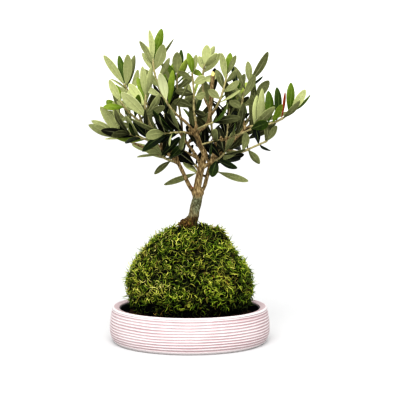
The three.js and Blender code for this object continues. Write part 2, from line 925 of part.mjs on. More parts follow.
function bladeSolid(leaf) {
  const half = PETIOLE_WIDTH / 2;
  const rows = [
    [0, half, -PETIOLE_WIDTH / 4, PETIOLE_WIDTH / 2],
    [FIRST_STATION, leaf.width / 2, 0, BLADE_THICK],
    [SECOND_STATION, leaf.width / 2, 0, BLADE_THICK],
  ];
  const corners = [];
  for (const [share, wide, edge, ridge] of rows) {
    corners.push(bladePoint(leaf, share, -wide, edge));
    corners.push(bladePoint(leaf, share, 0, ridge));
    corners.push(bladePoint(leaf, share, wide, edge));
  }
  corners.push(bladePoint(leaf, 1, 0, BLADE_THICK / 3));
  const faces = [0, 2, 1];
  for (const first of [0, 3]) {
    for (const corner of [0, 1, 2]) {
      const next = (corner + 1) % 3;
      const here = [first + corner, first + next, first + corner + 3, first + next + 3];
      if (corner === 2) faces.push(here[0], here[1], here[2], here[1], here[3], here[2]);
      else faces.push(here[0], here[1], here[3], here[0], here[3], here[2]);
    }
  }
  for (const corner of [0, 1, 2]) faces.push(6 + corner, 6 + ((corner + 1) % 3), 9);
  const geometry = new THREE.BufferGeometry().setFromPoints(corners);
  geometry.setIndex(faces);
  return solidOf(geometry);
}

function shareOfCut(shoot) {
  return (shoot.cut ?? RULE_CUT) / (shoot.places.length - 1);
}

// Points along all wood, with the room that leaves keep from it.
function woodPointsOf(shoots) {
  const points = [];
  const sample = (curve, radii, owner, shown) => {
    const count = Math.ceil(curve.getLength() / WOOD_SAMPLE);
    for (let i = 0; i <= count; i += 1) {
      const share = i / count;
      const radius = between(radii[0], radii[1], share);
      points.push({ place: curve.getPoint(share), radius, owner, share, shown });
    }
  };
  for (const limb of LIMBS) sample(pathOf(limb.places), limb.radii, "trunk", limb.shown);
  for (const shoot of shoots) sample(shoot.curve, TWIG_RADII, shoot.name, false);
  return points;
}

// A leaf of the front is tried at its own lean first, and then a little nearer or further.
const LEAN_STEPS = [0, 7, -7, 14, -14, 21, -21, 28, -28];

function frontLeaves(shoot, placed, woodPoints) {
  const chance = randomStream(shoot.seed);
  for (const [share, across, height, width, turn, lean] of shoot.leaves) {
    const base = shoot.curve.getPoint(share);
    const bow = between(...LEAF_BOWS, chance());
    for (const step of LEAN_STEPS) {
      const tip = real([across, height, base.y + lean + step]);
      const towards = tip.clone().sub(base).normalize();
      const front = new THREE.Vector3(0, -1, 0).addScaledVector(towards, towards.y).normalize();
      const facing = front.applyAxisAngle(towards, THREE.MathUtils.degToRad(turn));
      const leaf = leafFrom(base, tip, facing, width, bow);
      leaf.shoot = shoot.name;
      leaf.twigShare = share;
      if (placed.some((other) => leavesMeet(leaf, other)) || meetsWood(leaf, woodPoints)) continue;
      placed.push(leaf);
      break;
    }
  }
}

// Pairs up the twig, each turned a quarter from the last, with a leaf at the very tip.
// A leaf leans from the twig towards its side and a little upwards, and its upper face
// looks along the twig. A leaf that finds no room in a few draws is left out.
function ruleLeaves(shoot, placed, woodPoints) {
  const chance = randomStream(shoot.seed);
  const upwards = new THREE.Vector3(0, 0, 1);
  for (let pair = 0; pair <= shoot.pairs; pair += 1) {
    const share = between(FIRST_PAIR, 1, pair / shoot.pairs) - SMALL_SHARE;
    const base = shoot.curve.getPoint(share);
    const along = shoot.curve.getTangent(share);
    const across = new THREE.Vector3(0, 1, 0).cross(along).normalize();
    const beside = along.clone().cross(across);
    for (const half of [0, 1]) {
      for (let attempt = 0; attempt < RULE_TRIES; attempt += 1) {
        const stray = between(-PAIR_STRAY, PAIR_STRAY, chance());
        const turn = ((pair + 0.5) * Math.PI) / 2 + half * Math.PI + stray;
        const angle = THREE.MathUtils.degToRad(between(...LEAF_ANGLES, chance()));
        const length = between(...LEAF_LENGTHS, chance());
        const width = between(...LEAF_WIDTHS, chance());
        const bow = between(...LEAF_BOWS, chance());
        const open = pair === shoot.pairs ? angle * TIP_CLOSING : angle;
        const way = along.clone().multiplyScalar(Math.cos(open));
        way.addScaledVector(across, Math.sin(open) * Math.cos(turn));
        way.addScaledVector(beside, Math.sin(open) * Math.sin(turn));
        way.addScaledVector(upwards, LEAF_RISE).normalize();
        const tip = base.clone().addScaledVector(way, length);
        if (!inCrown(tip)) continue;
        const leaf = leafFrom(base, tip, along, width, bow);
        leaf.shoot = shoot.name;
        leaf.twigShare = share;
        if (placed.some((other) => leavesMeet(leaf, other)) || meetsWood(leaf, woodPoints)) continue;
        if (hidesLimb(leaf, woodPoints)) continue;
        placed.push(leaf);
        break;
      }
    }
  }
}

function growLeaves() {
  const shoots = [...FRONT_SHOOTS, ...RULE_SHOOTS];
  shoots.forEach((shoot, number) => {
    shoot.curve = pathOf(shoot.places);
    shoot.seed = FIRST_SEED + number * SEED_STEP;
  });
  const woodPoints = woodPointsOf(shoots);
  const placed = [];
  for (const shoot of FRONT_SHOOTS) frontLeaves(shoot, placed, woodPoints);
  for (const shoot of RULE_SHOOTS) ruleLeaves(shoot, placed, woodPoints);
  return { shoots, placed };
}

// The trunk, its limbs and the foot of every twig are one grown piece. It spreads into a
// flare over the soil, and a root stub stands in the hole below.
function makeTrunk(shoots) {
  const solids = LIMBS.map((limb) =>
    wood(pathOf(limb.places), limb.radii, 0, 1, limb.steps, limb.sides, limb.slant),
  );
  const foot = SOIL_TOP + GAP;
  const flare = new THREE.LatheGeometry(
    [
      [0, foot],
      [FLARE_RADIUS, foot],
      [FLARE_RADIUS - 2, foot + 4],
      [8, foot + 8],
      [6.6, foot + FLARE_HEIGHT],
      [0, foot + FLARE_HEIGHT],
    ].map(([radius, height]) => new THREE.Vector2(radius, height)),
    FOOT_SIDES,
  ).rotateX(Math.PI / 2);
  shaped(flare, (point) => {
    point.x += between(...FLARE_SHIFTS, (point.z - foot) / FLARE_HEIGHT);
  });
  solids.push(solidOf(flare));
  const depth = ROOT_DEPTH + ROOT_OVERLAP;
  const stub = new THREE.CylinderGeometry(ROOT_RADIUS, ROOT_RADIUS - 1, depth, FOOT_SIDES);
  stub.rotateX(Math.PI / 2).translate(0, 0, foot + ROOT_OVERLAP - depth / 2);
  solids.push(solidOf(stub));
  const fork = new THREE.SphereGeometry(1, 8, 6).rotateX(Math.PI / 2);
  fork.scale(...FORK_SIZE).translate(...FORK_PLACE);
  solids.push(solidOf(fork));
  for (const shoot of shoots) {
    const cut = shareOfCut(shoot);
    solids.push(wood(shoot.curve, TWIG_RADII, 0, cut, shoot.cut ?? RULE_CUT, TWIG_SIDES));
  }
  addPiece("trunk", geometryOf(join(solids)), COLOURS.bark, 0.85);
}

function makeShoot(shoot, leaves) {
  const cut = shareOfCut(shoot);
  const pace = shoot.curve.getPoint(cut).distanceTo(shoot.curve.getPoint(cut + SMALL_SHARE));
  const start = cut + (SMALL_SHARE * GAP) / pace;
  const steps = shoot.places.length - 1;
  const solids = [wood(shoot.curve, TWIG_RADII, start, 1, steps, TWIG_SIDES)];
  for (const leaf of leaves) solids.push(bladeSolid(leaf));
  addPiece(shoot.name, geometryOf(join(solids)), COLOURS.leaf, 0.6);
}

makeDish();
makeTray();
makeSoil();
makeMoss();
const { shoots, placed } = growLeaves();
makeTrunk(shoots);
for (const shoot of shoots) {
  makeShoot(
    shoot,
    placed.filter((leaf) => leaf.shoot === shoot.name),
  );
}

export default plant;
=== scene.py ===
import math

import bpy
import numpy as np
from bpy.props import FloatProperty, FloatVectorProperty, IntProperty, PointerProperty
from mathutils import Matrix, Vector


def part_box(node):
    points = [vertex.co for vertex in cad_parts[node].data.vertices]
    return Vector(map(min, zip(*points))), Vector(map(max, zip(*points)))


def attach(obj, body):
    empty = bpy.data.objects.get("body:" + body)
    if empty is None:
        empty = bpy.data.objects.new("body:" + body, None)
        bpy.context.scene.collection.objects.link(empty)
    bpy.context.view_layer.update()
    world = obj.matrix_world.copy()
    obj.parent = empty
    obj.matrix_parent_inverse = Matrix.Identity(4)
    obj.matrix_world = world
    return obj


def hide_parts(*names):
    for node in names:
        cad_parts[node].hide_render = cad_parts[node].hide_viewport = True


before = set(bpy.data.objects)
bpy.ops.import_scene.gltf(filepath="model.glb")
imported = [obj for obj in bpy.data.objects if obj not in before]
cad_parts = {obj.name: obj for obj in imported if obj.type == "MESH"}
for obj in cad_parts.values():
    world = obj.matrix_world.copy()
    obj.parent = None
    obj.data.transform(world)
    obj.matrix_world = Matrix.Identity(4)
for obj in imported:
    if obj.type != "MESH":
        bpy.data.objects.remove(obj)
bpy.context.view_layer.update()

bl_info = {
    "name": "Olive kokedama",
    "version": (1, 0, 0),
    "blender": (4, 5, 0),
    "location": "View3D > Sidebar > Kokedama",
    "description": "A young olive tree on a ball of moss, in a ribbed dish",
    "category": "Add Mesh",
}

# Every shape is worked out in millimetres, as the solids are, and add_piece turns it to metres.
# +X runs to the right, +Y away from the front and +Z up, from the centre of the dish's underside.
MM = 0.001
UP = np.array([0.0, 0.0, 1.0])

# Dish: a shallow wall, widest below the middle, with thrown ribs round it
DISH_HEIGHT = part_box("dish")[1].z / MM
DISH_FOOT_RADIUS = 92
DISH_BELLY_RADIUS = 97.8
DISH_RIM_RADIUS = 94.4
WIDEST_HEIGHT = 16
FOOT_ROUNDING = 2.2
FOOT_EDGE = 1.6
DISH_INNER_RADIUS = 85.5
DISH_FLOOR = 6
LIP_DROP = 2.2
RIB_PITCH = 3.28
RIB_DEPTH = 0.9
RIDGE_POWER = 1.2
LOWEST_RIB = 3.1
WALL_STEP = 0.33

# Noise on the dish, each layer by its amount, its size in millimetres and its seed: how far a rib
# wanders up and down, how its depth changes, and how evenly the slip was wiped off its groove.
# The noise runs on a band of its own radius, and its heights are stretched.
RIB_WANDER = ((0.55, 26, 3), (0.18, 6, 4))
RIB_CHANGE = ((0.3, 18, 5),)
SLIP_WIPED = ((0.3, 22, 6),)
WIPED_LEVEL = 0.95
WIPED_SPAN = (0.5, 1.15)
BAND_RADIUS = 60
BAND_STRETCH = 2.5

# How bare of slip the lip and the inside are, and the band under the lip with its half width
BARE_LIP = 0.75
BARE_INSIDE = 0.5
BARE_BAND = 0.8
BARE_GROOVE = 1.25
PINK_BAND = 37.6
PINK_BAND_HALF = 1.5

# Tray, soil and moss
GAP = 0.3
TRAY_WALL = 1
TRAY_EDGE = 1.5
TRAY_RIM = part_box("liner")[1].z / MM
SOIL_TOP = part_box("soil")[1].z / MM
ROOT_RADIUS = 7
ROOT_DEPTH = 22
MOSS_HOLE_RADIUS = 16
MOSS_FOOT = 38.3

# The open foot of the soil climbs from the tray's wall to the foot of the moss, in lumps. Under the
# moss, where nothing shows, the soil keeps some room.
SOIL_FOOT = ((79, 26), (72.5, 36), (66, MOSS_FOOT - 0.4))
SOIL_WALL_TOP = 18
SOIL_OPEN_RADIUS = 66
SOIL_LUMPS = ((1.3, 5, 11), (0.8, 2.2, 12))
HIDDEN_ROOM = 2.5
CRUMB_SIZES = (0.7, 2.1)

# Earth heaped against the trunk's foot: its turns round the ball's axis, and its slope
EARTH_TURNS = (150, 290)
EARTH_RADII = (5, 14)
EARTH_HEIGHTS = (150, 142)
EARTH_LUMPS = ((2, 5, 63),)
EARTH_SIZES = (0.5, 1.4)
EARTH_STRAY = 0.5

# Crumbs: how far their points lie from the centre, and how they are stretched along each axis, as
# shares of their size, and how far out their poles are
CRUMB_REACHES = (0.6, 1.15)
CRUMB_STRETCHES = (0.6, 1.3)
CRUMB_POLE = 0.85

# Outlines of the moss and of the ball of soil under it, as (radius, height) from the top down
MOSS_OUTLINE = (
    (MOSS_HOLE_RADIUS, 142), (25, 139), (37, 132.5), (48, 123), (57, 112.5), (65.5, 100.5),
    (72.5, 89), (77, 78), (78, 66), (76, 54), (73.5, 45), (71, MOSS_FOOT),
)
CORE_OUTLINE = ((50, 112), (64, 84), (62, MOSS_FOOT - GAP))

# Cushions of moss, and a dent in its right shoulder: depth, height and half height
CUSHIONS = ((2.1, 17, 21), (1.4, 8, 22))
CUSHION_EDGE = 0.04
SHOULDER_DENT = 1.5
SHOULDER_HEIGHT = 121
SHOULDER_SPAN = 13
# Tufts that bulge out of the moss: how far, at which turn and share of the outline, and their spans
TUFTS = ((7, 5.9, 1, 0.8, 0.06), (5, 0, 0.82, 0.6, 0.07))

# Shares of a frond's way at its rings and its tip, and its girth at the rings
FROND_STATIONS = np.array([0, 0.18, 0.4, 0.62, 0.84, 1])
FROND_GIRTHS = np.array([0.75, 1, 1, 0.9, 0.6])
# A frond's steady curl in radians, the swing of its wave and the number of waves, and how soon it
# reaches its own height
CURLS = (0.8, 4.2)
SWINGS = (0, 0.7)
WAVES = (0.7, 1.4)
CLIMB_RATE = 4.5
# Clumps of moss, and how high fronds in the hollows between them climb
CLUMPS = ((1.1, 7, 34),)
CLUMP_LEVEL = 0.55
HOLLOW_CLIMB = 0.35
# How far a frond's root is sunk in the floor of the moss
ROOT_SUNK = 0.3
# Share of the outline over which the moss thins out and darkens at its foot in painted shade, with its
# thinnest and its darkest, and how much painted shade darkens the moss low on the right
FOOT_SPAN = (0.03, 0.15)
FOOT_THIN = 0.35
FOOT_SHADE = 0.3
SIDE_SHADE = 0.18
# Patches of lighter and darker moss and how strong they are, patches of dry moss with their level
# and their stray, how much drier the foot and a bare brown place on the left shoulder are, and the
# share of fronds that are straw anywhere
PATCHES = ((1, 21, 31), (0.6, 8, 32))
PATCH_SHARE = 0.2
DRY_PATCHES = ((1.6, 13, 33),)
DRY_LEVEL = 0.8
DRY_STRAY = 0.5
DRY_FOOT = 0.5
DRY_SHOULDER = 0.8
BARE_PLACE = (-33, -38, 127)
BARE_SIZE = 9
STRAW_SHARE = 0.15
DRIEST = 0.85

# Trunk foot: its radius at heights over the soil, three buttresses, and how it leans
FLARE_HEIGHTS = (0, 4, 8, 13)
FLARE_RADII = (11.5, 9.5, 8, 6.6)
BUTTRESS = 0.16
FLARE_SHIFTS = (-2, 2.4)

# Swelling where the limbs leave the trunk: its centre, and half its size each way
FORK_PLACE = (9.6, 0, 182)
FORK_SIZE = (7.8, 6.2, 8)

# Wood: spacing of its rings, how rough it is on the trunk, the limbs and the twigs, the share by
# which its grain is drawn out, and how much knots swell a twig and over what length
RING_STEP = 1.3
TRUNK_ROUGH = 0.1
LIMB_ROUGH = 0.08
TWIG_FOOT_ROUGH = 0.05
TWIG_ROUGH = 0.06
GRAIN_DRAWN = 0.7
TWIG_RADII = (1.7, 1.05)
LEAF_KNOT = 0.16
FOOT_KNOT = 0.12
KNOT_REACH = 1.3
BUD_LENGTH = 2.2

# Bark: depth of its fissures on limbs and on the trunk, and where one gives way to the other. Then
# its marks: a pruned limb, the collar under which it is lichened, the line of earth, how ragged
# both lines are, patches of lichen and a scar.
FISSURES = (0.14, 0.34)
FISSURE_STRETCH = (1, 1, 0.3)
BLISTERS = ((0.7, 4.5, 52),)
TRUNK_END = 205
TRUNK_FADE = 25
PRUNED_LIMB = 6
CUT_REACH = 6
CUT_FACING = 0.45
COLLAR_HEIGHT = 177.5
EARTH_LINE = 155
RAGGED = ((2.5, 6, 53),)
LICHEN_PATCHES = ((0.5, 9, 54),)
LICHEN_LEVEL = 0.75
SCAR_PLACE = (3.6, -4.5, 189)
SCAR_SIZE = 2.4

# Leaf blade and the room kept round it
PETIOLE_WIDTH = 1.2
FIRST_STATION = 0.36
SECOND_STATION = 0.7
CLEAR_ABOVE = 1.7
CLEAR_BESIDE = 1.1
CLEAR_TIP = 1.04
CLEAR_WOOD = 1.3
CLEAR_SIGHT = 0.8
WOOD_SAMPLE = 3
SAMPLE_ROWS = 14
SAMPLE_PARTS = (-1, -0.5, 0, 0.5, 1)
SHARED_ROOT = 0.28
OWN_TWIG = 0.3
NEARBY = 10

# Leaves by rule: ranges of their sizes and turns, and how they are tried
RULE_CUT = 1
SMALL_SHARE = 0.01
RULE_TRIES = 40
FIRST_PAIR = 0.37
LEAF_LENGTHS = (31, 45)
LEAF_WIDTHS = (8.5, 12)
LEAF_ANGLES = (34, 62)
LEAF_BOWS = (0.01, 0.09)
LEAF_RISE = 0.22
PAIR_STRAY = 0.5
TIP_CLOSING = 0.6
LEAN_STEPS = (0, 7, -7, 14, -14, 21, -21, 28, -28)
FIRST_SEED = 101
SEED_STEP = 17
WORD = 0xFFFFFFFF

# Stations across a blade, along the upper face from one edge to the other and back underneath, and
# along it
UPPER_ACROSS = (-1, -0.86, -0.5, -0.13, 0, 0.13, 0.5, 0.86, 1)
UNDER_ACROSS = (0.86, 0.5, 0.13, 0, -0.13, -0.5, -0.86)
BLADE_ROWS = (0, 0.04, 0.09, 0.15, 0.22, 0.3, 0.38, 0.46, 0.54, 0.62, 0.7, 0.78, 0.85, 0.91, 0.96)
# Blade: where it is widest, how its base draws in and its tip rounds off, its fullness, its arch,
# the share that is stalk, how thin its rim is, and its midrib's half width and depth above and below
WIDEST_SHARE = 0.57
BASE_POWER = 1.05
TIP_POWER = 0.58
FULLNESS = 1.09
ARCH = 0.2
STALK_SHARE = 0.14
RIM_THINNING = 0.55
RIB_HALF = 0.1
RIB_SUNK = 0.16
RIB_RAISED = 0.3
# How far a blade sways to a side in millimetres, and twists and waves at most
SWAY = 0.9
TWIST = 0.2
WAVE = 0.35

# Tone of a leaf by rule, which paints light and shade on it as well as its age: its start, and what
# height, nearness to the crown's outside, the shade low in the crown and chance add or take
TONE_START = -0.14
TONE_HEIGHT = 0.42
TONE_OUTER = 0.5
TONE_SHADE = 0.18
TONE_CHANCE = 0.16
LISTED_CHANCE = 0.03
TONE_MOST = 0.9
CROWN_LOW = 215
CROWN_HIGH = 350
CROWN_SHADE = (218, 248)
CROWN_MIDDLE = (12, 0, 262)
CROWN_STRETCH = (1, 1.2, 1.1)
CROWN_REACH = 118
OUTER_POWER = 1.6

# The eye that the places of the crown are given for
VIEW_ACROSS = 12.5
VIEW_HEIGHT = 285
VIEW_DISTANCE = 1500
VIEW_REACH = 110
VIEW_DROP = 4.3
LENS = 111.5
SENSOR = 36

# Floor: half its width and its height in metres. Sun: how soft it is, and how it is turned.
FLOOR_REACH = 30
FLOOR_DROP = -0.0004
SUN_WIDTH = 45
SUN_TURNS = (46, 0, -4)

# Limbs, the trunk first: radius at each end, how far the cut at the end slants, whether the limb
# shows bare from the front, and its places (across, height, depth) as they look from the front
LIMBS = (
    ((7, 5.7), 0, False, ((2, 146, 0), (4.6, 153, 0), (9.2, 174, 0), (8.8, 184, 0))),
    ((2.7, 1.9), 0, True, (
        (8.4, 178, 0), (0.6, 188, -3), (-7, 203, -8), (-14.3, 218.6, -12), (-19, 230, -15),
        (-33, 234, -19),
    )),
    ((4.9, 2.6), 0, True, (
        (7.9, 181, 0), (9.8, 191, 0), (13.2, 208, 2), (16.6, 222, 2), (18, 228, 3), (13.4, 237, 3),
        (7.6, 254, 2), (8.3, 262, 2),
    )),
    ((2.7, 1.9), 0, False, ((9.5, 178, 2), (17, 187, 9), (23, 208, 15), (28, 226, 24), (36, 244, 38))),
    ((1.9, 1.6), 0, False, ((-24, 232, -16.5), (-33, 236, -19), (-36, 246, -22), (-42, 254, -25))),
    ((1.9, 1.5), 0, True, ((7.8, 252, 2), (-4.8, 266.5, -4), (-12, 271, -7))),
    ((2.3, 2.6), 1.3, True, (
        (8, 253, 2), (20, 263, 0), (23.4, 270, 0), (25.8, 293, -4), (28.2, 325, -8),
    )),
    ((2.3, 1.6), 0, True, (
        (14, 210, 2), (31.8, 222.5, -4), (46.9, 238, -10), (64.5, 255.7, -14), (66.9, 261, -15),
    )),
    ((2.3, 1.6), 0, False, ((13.4, 210, 2), (9, 224, 22), (-4, 242, 42), (-12, 254, 52))),
    ((2, 1.6), 0, False, ((-12, 214, -10), (-28, 230, 8), (-46, 245, 26), (-56, 254, 34))),
    ((1.9, 1.5), 0, False, ((15, 234, 3), (8, 248, -20), (-1, 258, -38))),
    ((1.9, 1.5), 0, False, ((31, 222, -4), (36, 238, -26), (38, 249, -40))),
)

# Front shoots: name, spans of the twig that are one with the trunk, its places, and its leaves. A
# leaf is its share of the twig, its tip's place across and up, its width, the turn of its upper face
# from the front in degrees, how far its tip lies behind its base, and its tone, partly its age and
# partly painted light and shade: 0 is old and dark in deep shade, 1 new, pale and lit.
FRONT_SHOOTS = (
    (
        "left_low", 2,
        ((-31, 233.5, -18), (-53, 235.5, -24), (-67, 241, -28), (-78, 245, -31), (-88, 248, -33)),
        (
            (0.99, -122.5, 263.5, 10, 25, -6, 0.37), (0.97, -119, 268.5, 9, 160, 14, 0.57),
            (0.9, -107.9, 285.9, 11, 165, -16, 0.68), (0.86, -92.2, 292.3, 8, 30, 10, 0.58),
            (0.76, -103, 246, 8, 75, 12, 0.78), (0.7, -84.5, 262, 9, 50, -14, 0.3),
            (0.64, -72, 266, 9, 140, 16, 0.48),
        ),
    ),
    (
        "left_outer", 1,
        ((-41, 252.5, -24.5), (-54, 262, -31), (-66, 272, -38), (-76, 281, -42), (-83, 291, -44)),
        (
            (0.98, -97, 318, 9, 160, -6, 0.67), (0.99, -89, 312, 7, 20, 8, 0.68),
            (0.84, -104.5, 284.5, 9, 35, -10, 0.67), (0.8, -70, 310, 9, 150, 12, 0.63),
            (0.6, -90, 264, 9, 60, -16, 0.34), (0.5, -62, 300, 9, 30, -18, 0.52),
        ),
    ),
    (
        "left_inner", 1,
        ((-39, 250, -23.5), (-47, 262, -34), (-52, 274, -42), (-54, 287, -46), (-53, 299, -46)),
        (
            (0.45, -82.6, 302.5, 13, 165, -14, 0.88), (0.7, -73.4, 313.3, 10, 170, -8, 0.79),
            (0.75, -63.4, 321, 8, 20, 6, 0.69), (0.98, -46.5, 333.4, 9, 40, -4, 0.56),
            (0.95, -57, 334, 9, 150, 8, 0.57), (0.55, -36, 300, 9, 30, 12, 0.43),
            (0.5, -30, 286, 9, 200, -20, 0.45),
        ),
    ),
    (
        "left_top", 1,
        ((-50, 248.5, 29.5), (-56, 262, 26), (-63, 281, 12), (-71, 298, 2), (-79, 312, -4)),
        (
            (0.97, -103.7, 347.3, 9, 160, -8, 0.65), (0.99, -85, 347, 8, 15, 4, 0.54),
            (0.94, -74.2, 348.4, 11, 165, -12, 0.63), (0.9, -66.2, 347.3, 8, 30, 10, 0.39),
            (0.8, -62, 330, 8, 150, -6, 0.65), (0.84, -96.2, 319, 5.5, 60, 8, 0.63),
            (0.7, -90, 310, 9, 130, -10, 0.77), (0.6, -52, 318, 9, 40, 12, 0.48),
            (0.5, -88, 292, 9, 200, 16, 0.57),
        ),
    ),
    (
        "crown_left", 1,
        (
            (-8, 269.5, -6), (-17, 277, -10), (-26, 288, -14), (-36, 306, -16), (-42, 325, -14),
            (-44.5, 342, -12),
        ),
        (
            (0.97, -48.4, 377.5, 7, 165, -4, 0.72), (0.99, -33.3, 378.9, 10, 20, 6, 0.64),
            (0.84, -31.1, 360, 12.5, 165, -10, 0.47), (0.8, -57, 350, 8, 25, 12, 0.59),
            (0.93, -60.4, 364.2, 7, 155, 4, 0.58), (0.7, -24, 344, 8, 40, 14, 0.46),
            (0.62, -58, 331, 9, 170, -14, 0.65), (0.44, -35.6, 326, 11, 168, -20, 1.0),
            (0.38, -20.2, 330, 8, 20, -4, 0.68), (0.32, -2, 313, 6, 70, -12, 0.35),
            (0.5, -60, 312, 9, 140, 16, 0.86), (0.9, -19, 367, 6, 60, 8, 0.36),
            (0.86, -52, 358, 9, 160, 8, 0.77),
        ),
    ),
    (
        "crown_back", 1,
        ((-9, 251, 50), (-10, 266, 46), (-13, 287, 36), (-15, 307, 26), (-15, 325, 18)),
        (
            (0.98, -15, 351, 11, 165, -4, 0.49), (0.99, -10, 354, 7, 30, 6, 0.4),
            (0.9, -3.3, 343, 8, 20, -8, 0.86), (0.85, -28, 338, 8, 40, 8, 0.55),
            (0.74, 4, 322, 9, 150, 10, 0.37), (0.7, -34, 318, 9, 20, -10, 0.4),
            (0.5, 6, 302, 9, 40, -14, 0.52), (0.5, -32, 300, 9, 160, 14, 0.26),
        ),
    ),
    (
        "crown_middle", 1,
        ((8.2, 259, 2), (7, 268, 4), (5, 284, 6), (5, 300, 4), (4, 316, 2), (3, 325, 0)),
        (
            (0.99, -2, 350, 9, 25, 4, 0.69), (0.98, 8, 348, 9, 150, -6, 0.52),
            (0.8, -14, 328, 8, 150, -6, 0.55), (0.76, 20, 320, 10, 165, -8, 0.64),
            (0.6, -18, 304, 9, 20, -12, 0.35), (0.56, 19, 300, 9, 160, -14, 0.52),
            (0.4, -20, 292, 10, 165, -16, 0.41), (0.36, 20, 274, 9, 25, -10, 0.24),
        ),
    ),
    (
        "crown_right", 1,
        ((24.6, 282, -2), (19, 293, 4), (15.5, 310, 8), (16, 324, 8), (18, 335, 6)),
        (
            (0.98, 21, 359.5, 11, 165, -4, 0.72), (0.99, 30, 358, 8, 25, 6, 0.59),
            (0.86, 11, 346, 8, 160, -8, 0.65), (0.84, 29, 344, 9, 40, 10, 0.46),
            (0.7, 4, 330, 8, 30, 12, 0.7), (0.62, 32, 322, 9, 155, 14, 0.75),
            (0.78, 37.5, 349.5, 9, 165, -10, 0.58), (0.95, 33, 350, 8, 20, -8, 0.7),
        ),
    ),
    (
        "right_upper", 1,
        ((23.8, 272, 0), (32, 284, -8), (38, 297, -14), (42, 311, -16), (45, 324, -16)),
        (
            (0.98, 49.2, 350, 9, 20, 4, 0.64), (0.99, 56, 347, 7, 150, -4, 0.47),
            (0.86, 38.5, 350, 8, 160, -6, 0.68), (0.8, 58, 330, 8, 30, 8, 0.44),
            (0.66, 32, 330, 9, 25, 8, 0.35), (0.6, 60, 316, 8, 160, -10, 0.47),
            (0.45, 23, 306, 9, 165, -12, 0.64), (0.36, 61.6, 305, 9, 110, -14, 0.62),
        ),
    ),
    (
        "right_top", 1,
        ((66.6, 260, -15), (64.6, 272, -14), (63, 288, -10), (66, 302, -8), (72, 315, -8)),
        (
            (0.98, 94.6, 351.4, 9, 160, -6, 0.31), (0.99, 70, 340, 8, 165, 4, 0.45),
            (0.85, 88.2, 322, 8, 75, -10, 0.32), (0.8, 54, 334, 8, 40, 8, 0.4),
            (0.62, 78.9, 323, 9, 160, -12, 0.58), (0.6, 50, 312, 8, 20, -8, 0.46),
            (0.45, 84, 300, 9, 140, 6, 0.41), (0.42, 48, 292, 9, 165, -10, 0.49),
        ),
    ),
    (
        "right_long", 1,
        (
            (65.5, 258, -14.5), (73, 261, -17), (84, 262.5, -20), (99.6, 265.4, -23), (112, 271, -25),
            (122.8, 279, -26),
        ),
        (
            (0.3, 81.4, 299.2, 8, 20, -6, 0.71), (0.42, 96.7, 303, 9, 150, 8, 0.66),
            (0.54, 95, 304.5, 10.5, 20, 12, 0.53), (0.68, 105.3, 308.9, 9.5, 30, 4, 0.4),
            (0.78, 115.3, 303, 6, 60, 12, 0.36), (0.94, 122.2, 314.5, 10, 20, 6, 0.52),
            (0.98, 140, 306, 10, 160, -8, 0.7), (0.8, 133, 293, 8, 30, -14, 0.38),
            (0.99, 146, 300, 7, 55, 4, 0.54), (0.6, 112, 288, 8, 155, -12, 0.66),
            (0.36, 87.5, 307.5, 9, 25, 12, 0.55), (0.24, 74, 300, 9, 160, 10, 0.34),
        ),
    ),
    (
        "right_low", 1,
        ((42, 233, -8), (52, 231.5, -15), (64, 231, -20), (78, 237, -25), (93, 243.5, -28)),
        (
            (0.99, 105.6, 262, 8, 150, -20, 0.45), (0.97, 92.3, 263, 8, 30, 16, 0.31),
            (0.84, 78.5, 261, 8, 25, 10, 0.08), (0.86, 98, 232, 7, 60, 14, 0.24),
            (0.62, 84.7, 216, 9, 30, 4, 0.38), (0.5, 69, 254, 9, 160, -14, 0.49),
            (0.62, 58, 258, 8, 30, 12, 0.26), (0.4, 40, 222, 9, 150, -10, 0.36),
        ),
    ),
    (
        "under_left", 1,
        ((-13, 216, -10), (-20, 219, -15), (-28, 222, -19), (-38, 227, -22)),
        (
            (0.45, -43, 203.5, 7, 20, -4, 0.29), (0.6, -54, 233, 9, 150, -12, 0.6),
            (0.7, -8, 231, 8, 70, -18, 0.3), (0.98, -70, 240, 9, 30, 4, 0.56),
            (0.97, -64, 224, 8, 75, -10, 0.47), (0.75, -26, 250, 9, 160, -14, 0.14),
            (0.55, -8, 240, 9, 25, 4, 0.34), (0.85, -52, 250, 9, 150, -10, 0.5),
            (0.9, -12, 249, 9, 20, -6, 0.3),
        ),
    ),
    (
        "under_right", 1,
        ((24, 214, -1), (31, 219, -12), (36, 223, -20), (42, 229, -27)),
        (
            (0.45, 27, 200, 11, 15, -4, 0.34), (0.6, 62, 222, 8, 40, -6, 0.1),
            (0.5, 58, 211, 8, 25, -14, 0.28), (0.9, 68, 234, 8, 60, -16, 0.3),
            (0.98, 54, 257, 9, 40, -8, 0.46), (0.97, 34, 262, 10, 160, 6, 0.09),
            (0.8, 72, 242, 9, 150, -8, 0.45), (0.7, 18, 244, 9, 30, -12, 0.11),
        ),
    ),
    (
        "trunk_left", 1,
        ((21.5, 200, 13), (15, 202.5, 17), (8, 205, 18)),
        (
            (0.98, -31.5, 190.5, 8.5, 150, 2, 0.49), (0.8, -8, 219, 8, 30, 8, 0.69),
        ),
    ),
    (
        "trunk_right", 1,
        ((22, 203, 14), (28, 205.5, 17), (34, 206.5, 18)),
        (
            (0.98, 71.5, 195, 8.5, 150, -2, 0.46),
        ),
    ),
)

# Leaves of these shoots, by place in the list, that show their underside where they are bowed back,
# and the share of leaves that do so on the shoots that hang low at the front
TURNED_LEAVES = {
    "left_low": (0, 3, 4), "left_outer": (4,), "left_inner": (3, 5), "left_top": (3, 5),
    "crown_left": (3, 5, 9, 11), "crown_back": (6,), "crown_middle": (4, 7), "crown_right": (1, 7),
    "right_upper": (3, 4), "right_top": (3, 5), "right_long": (0, 7, 9, 10), "right_low": (1, 4, 6),
    "under_left": (0, 3, 4), "under_right": (3, 4), "trunk_left": (1,),
}
TURNED_SHARE = 0.6
# The one leaf that is dying back: its shoot and its place in the list
RUSSET_LEAF = ("right_long", 4)

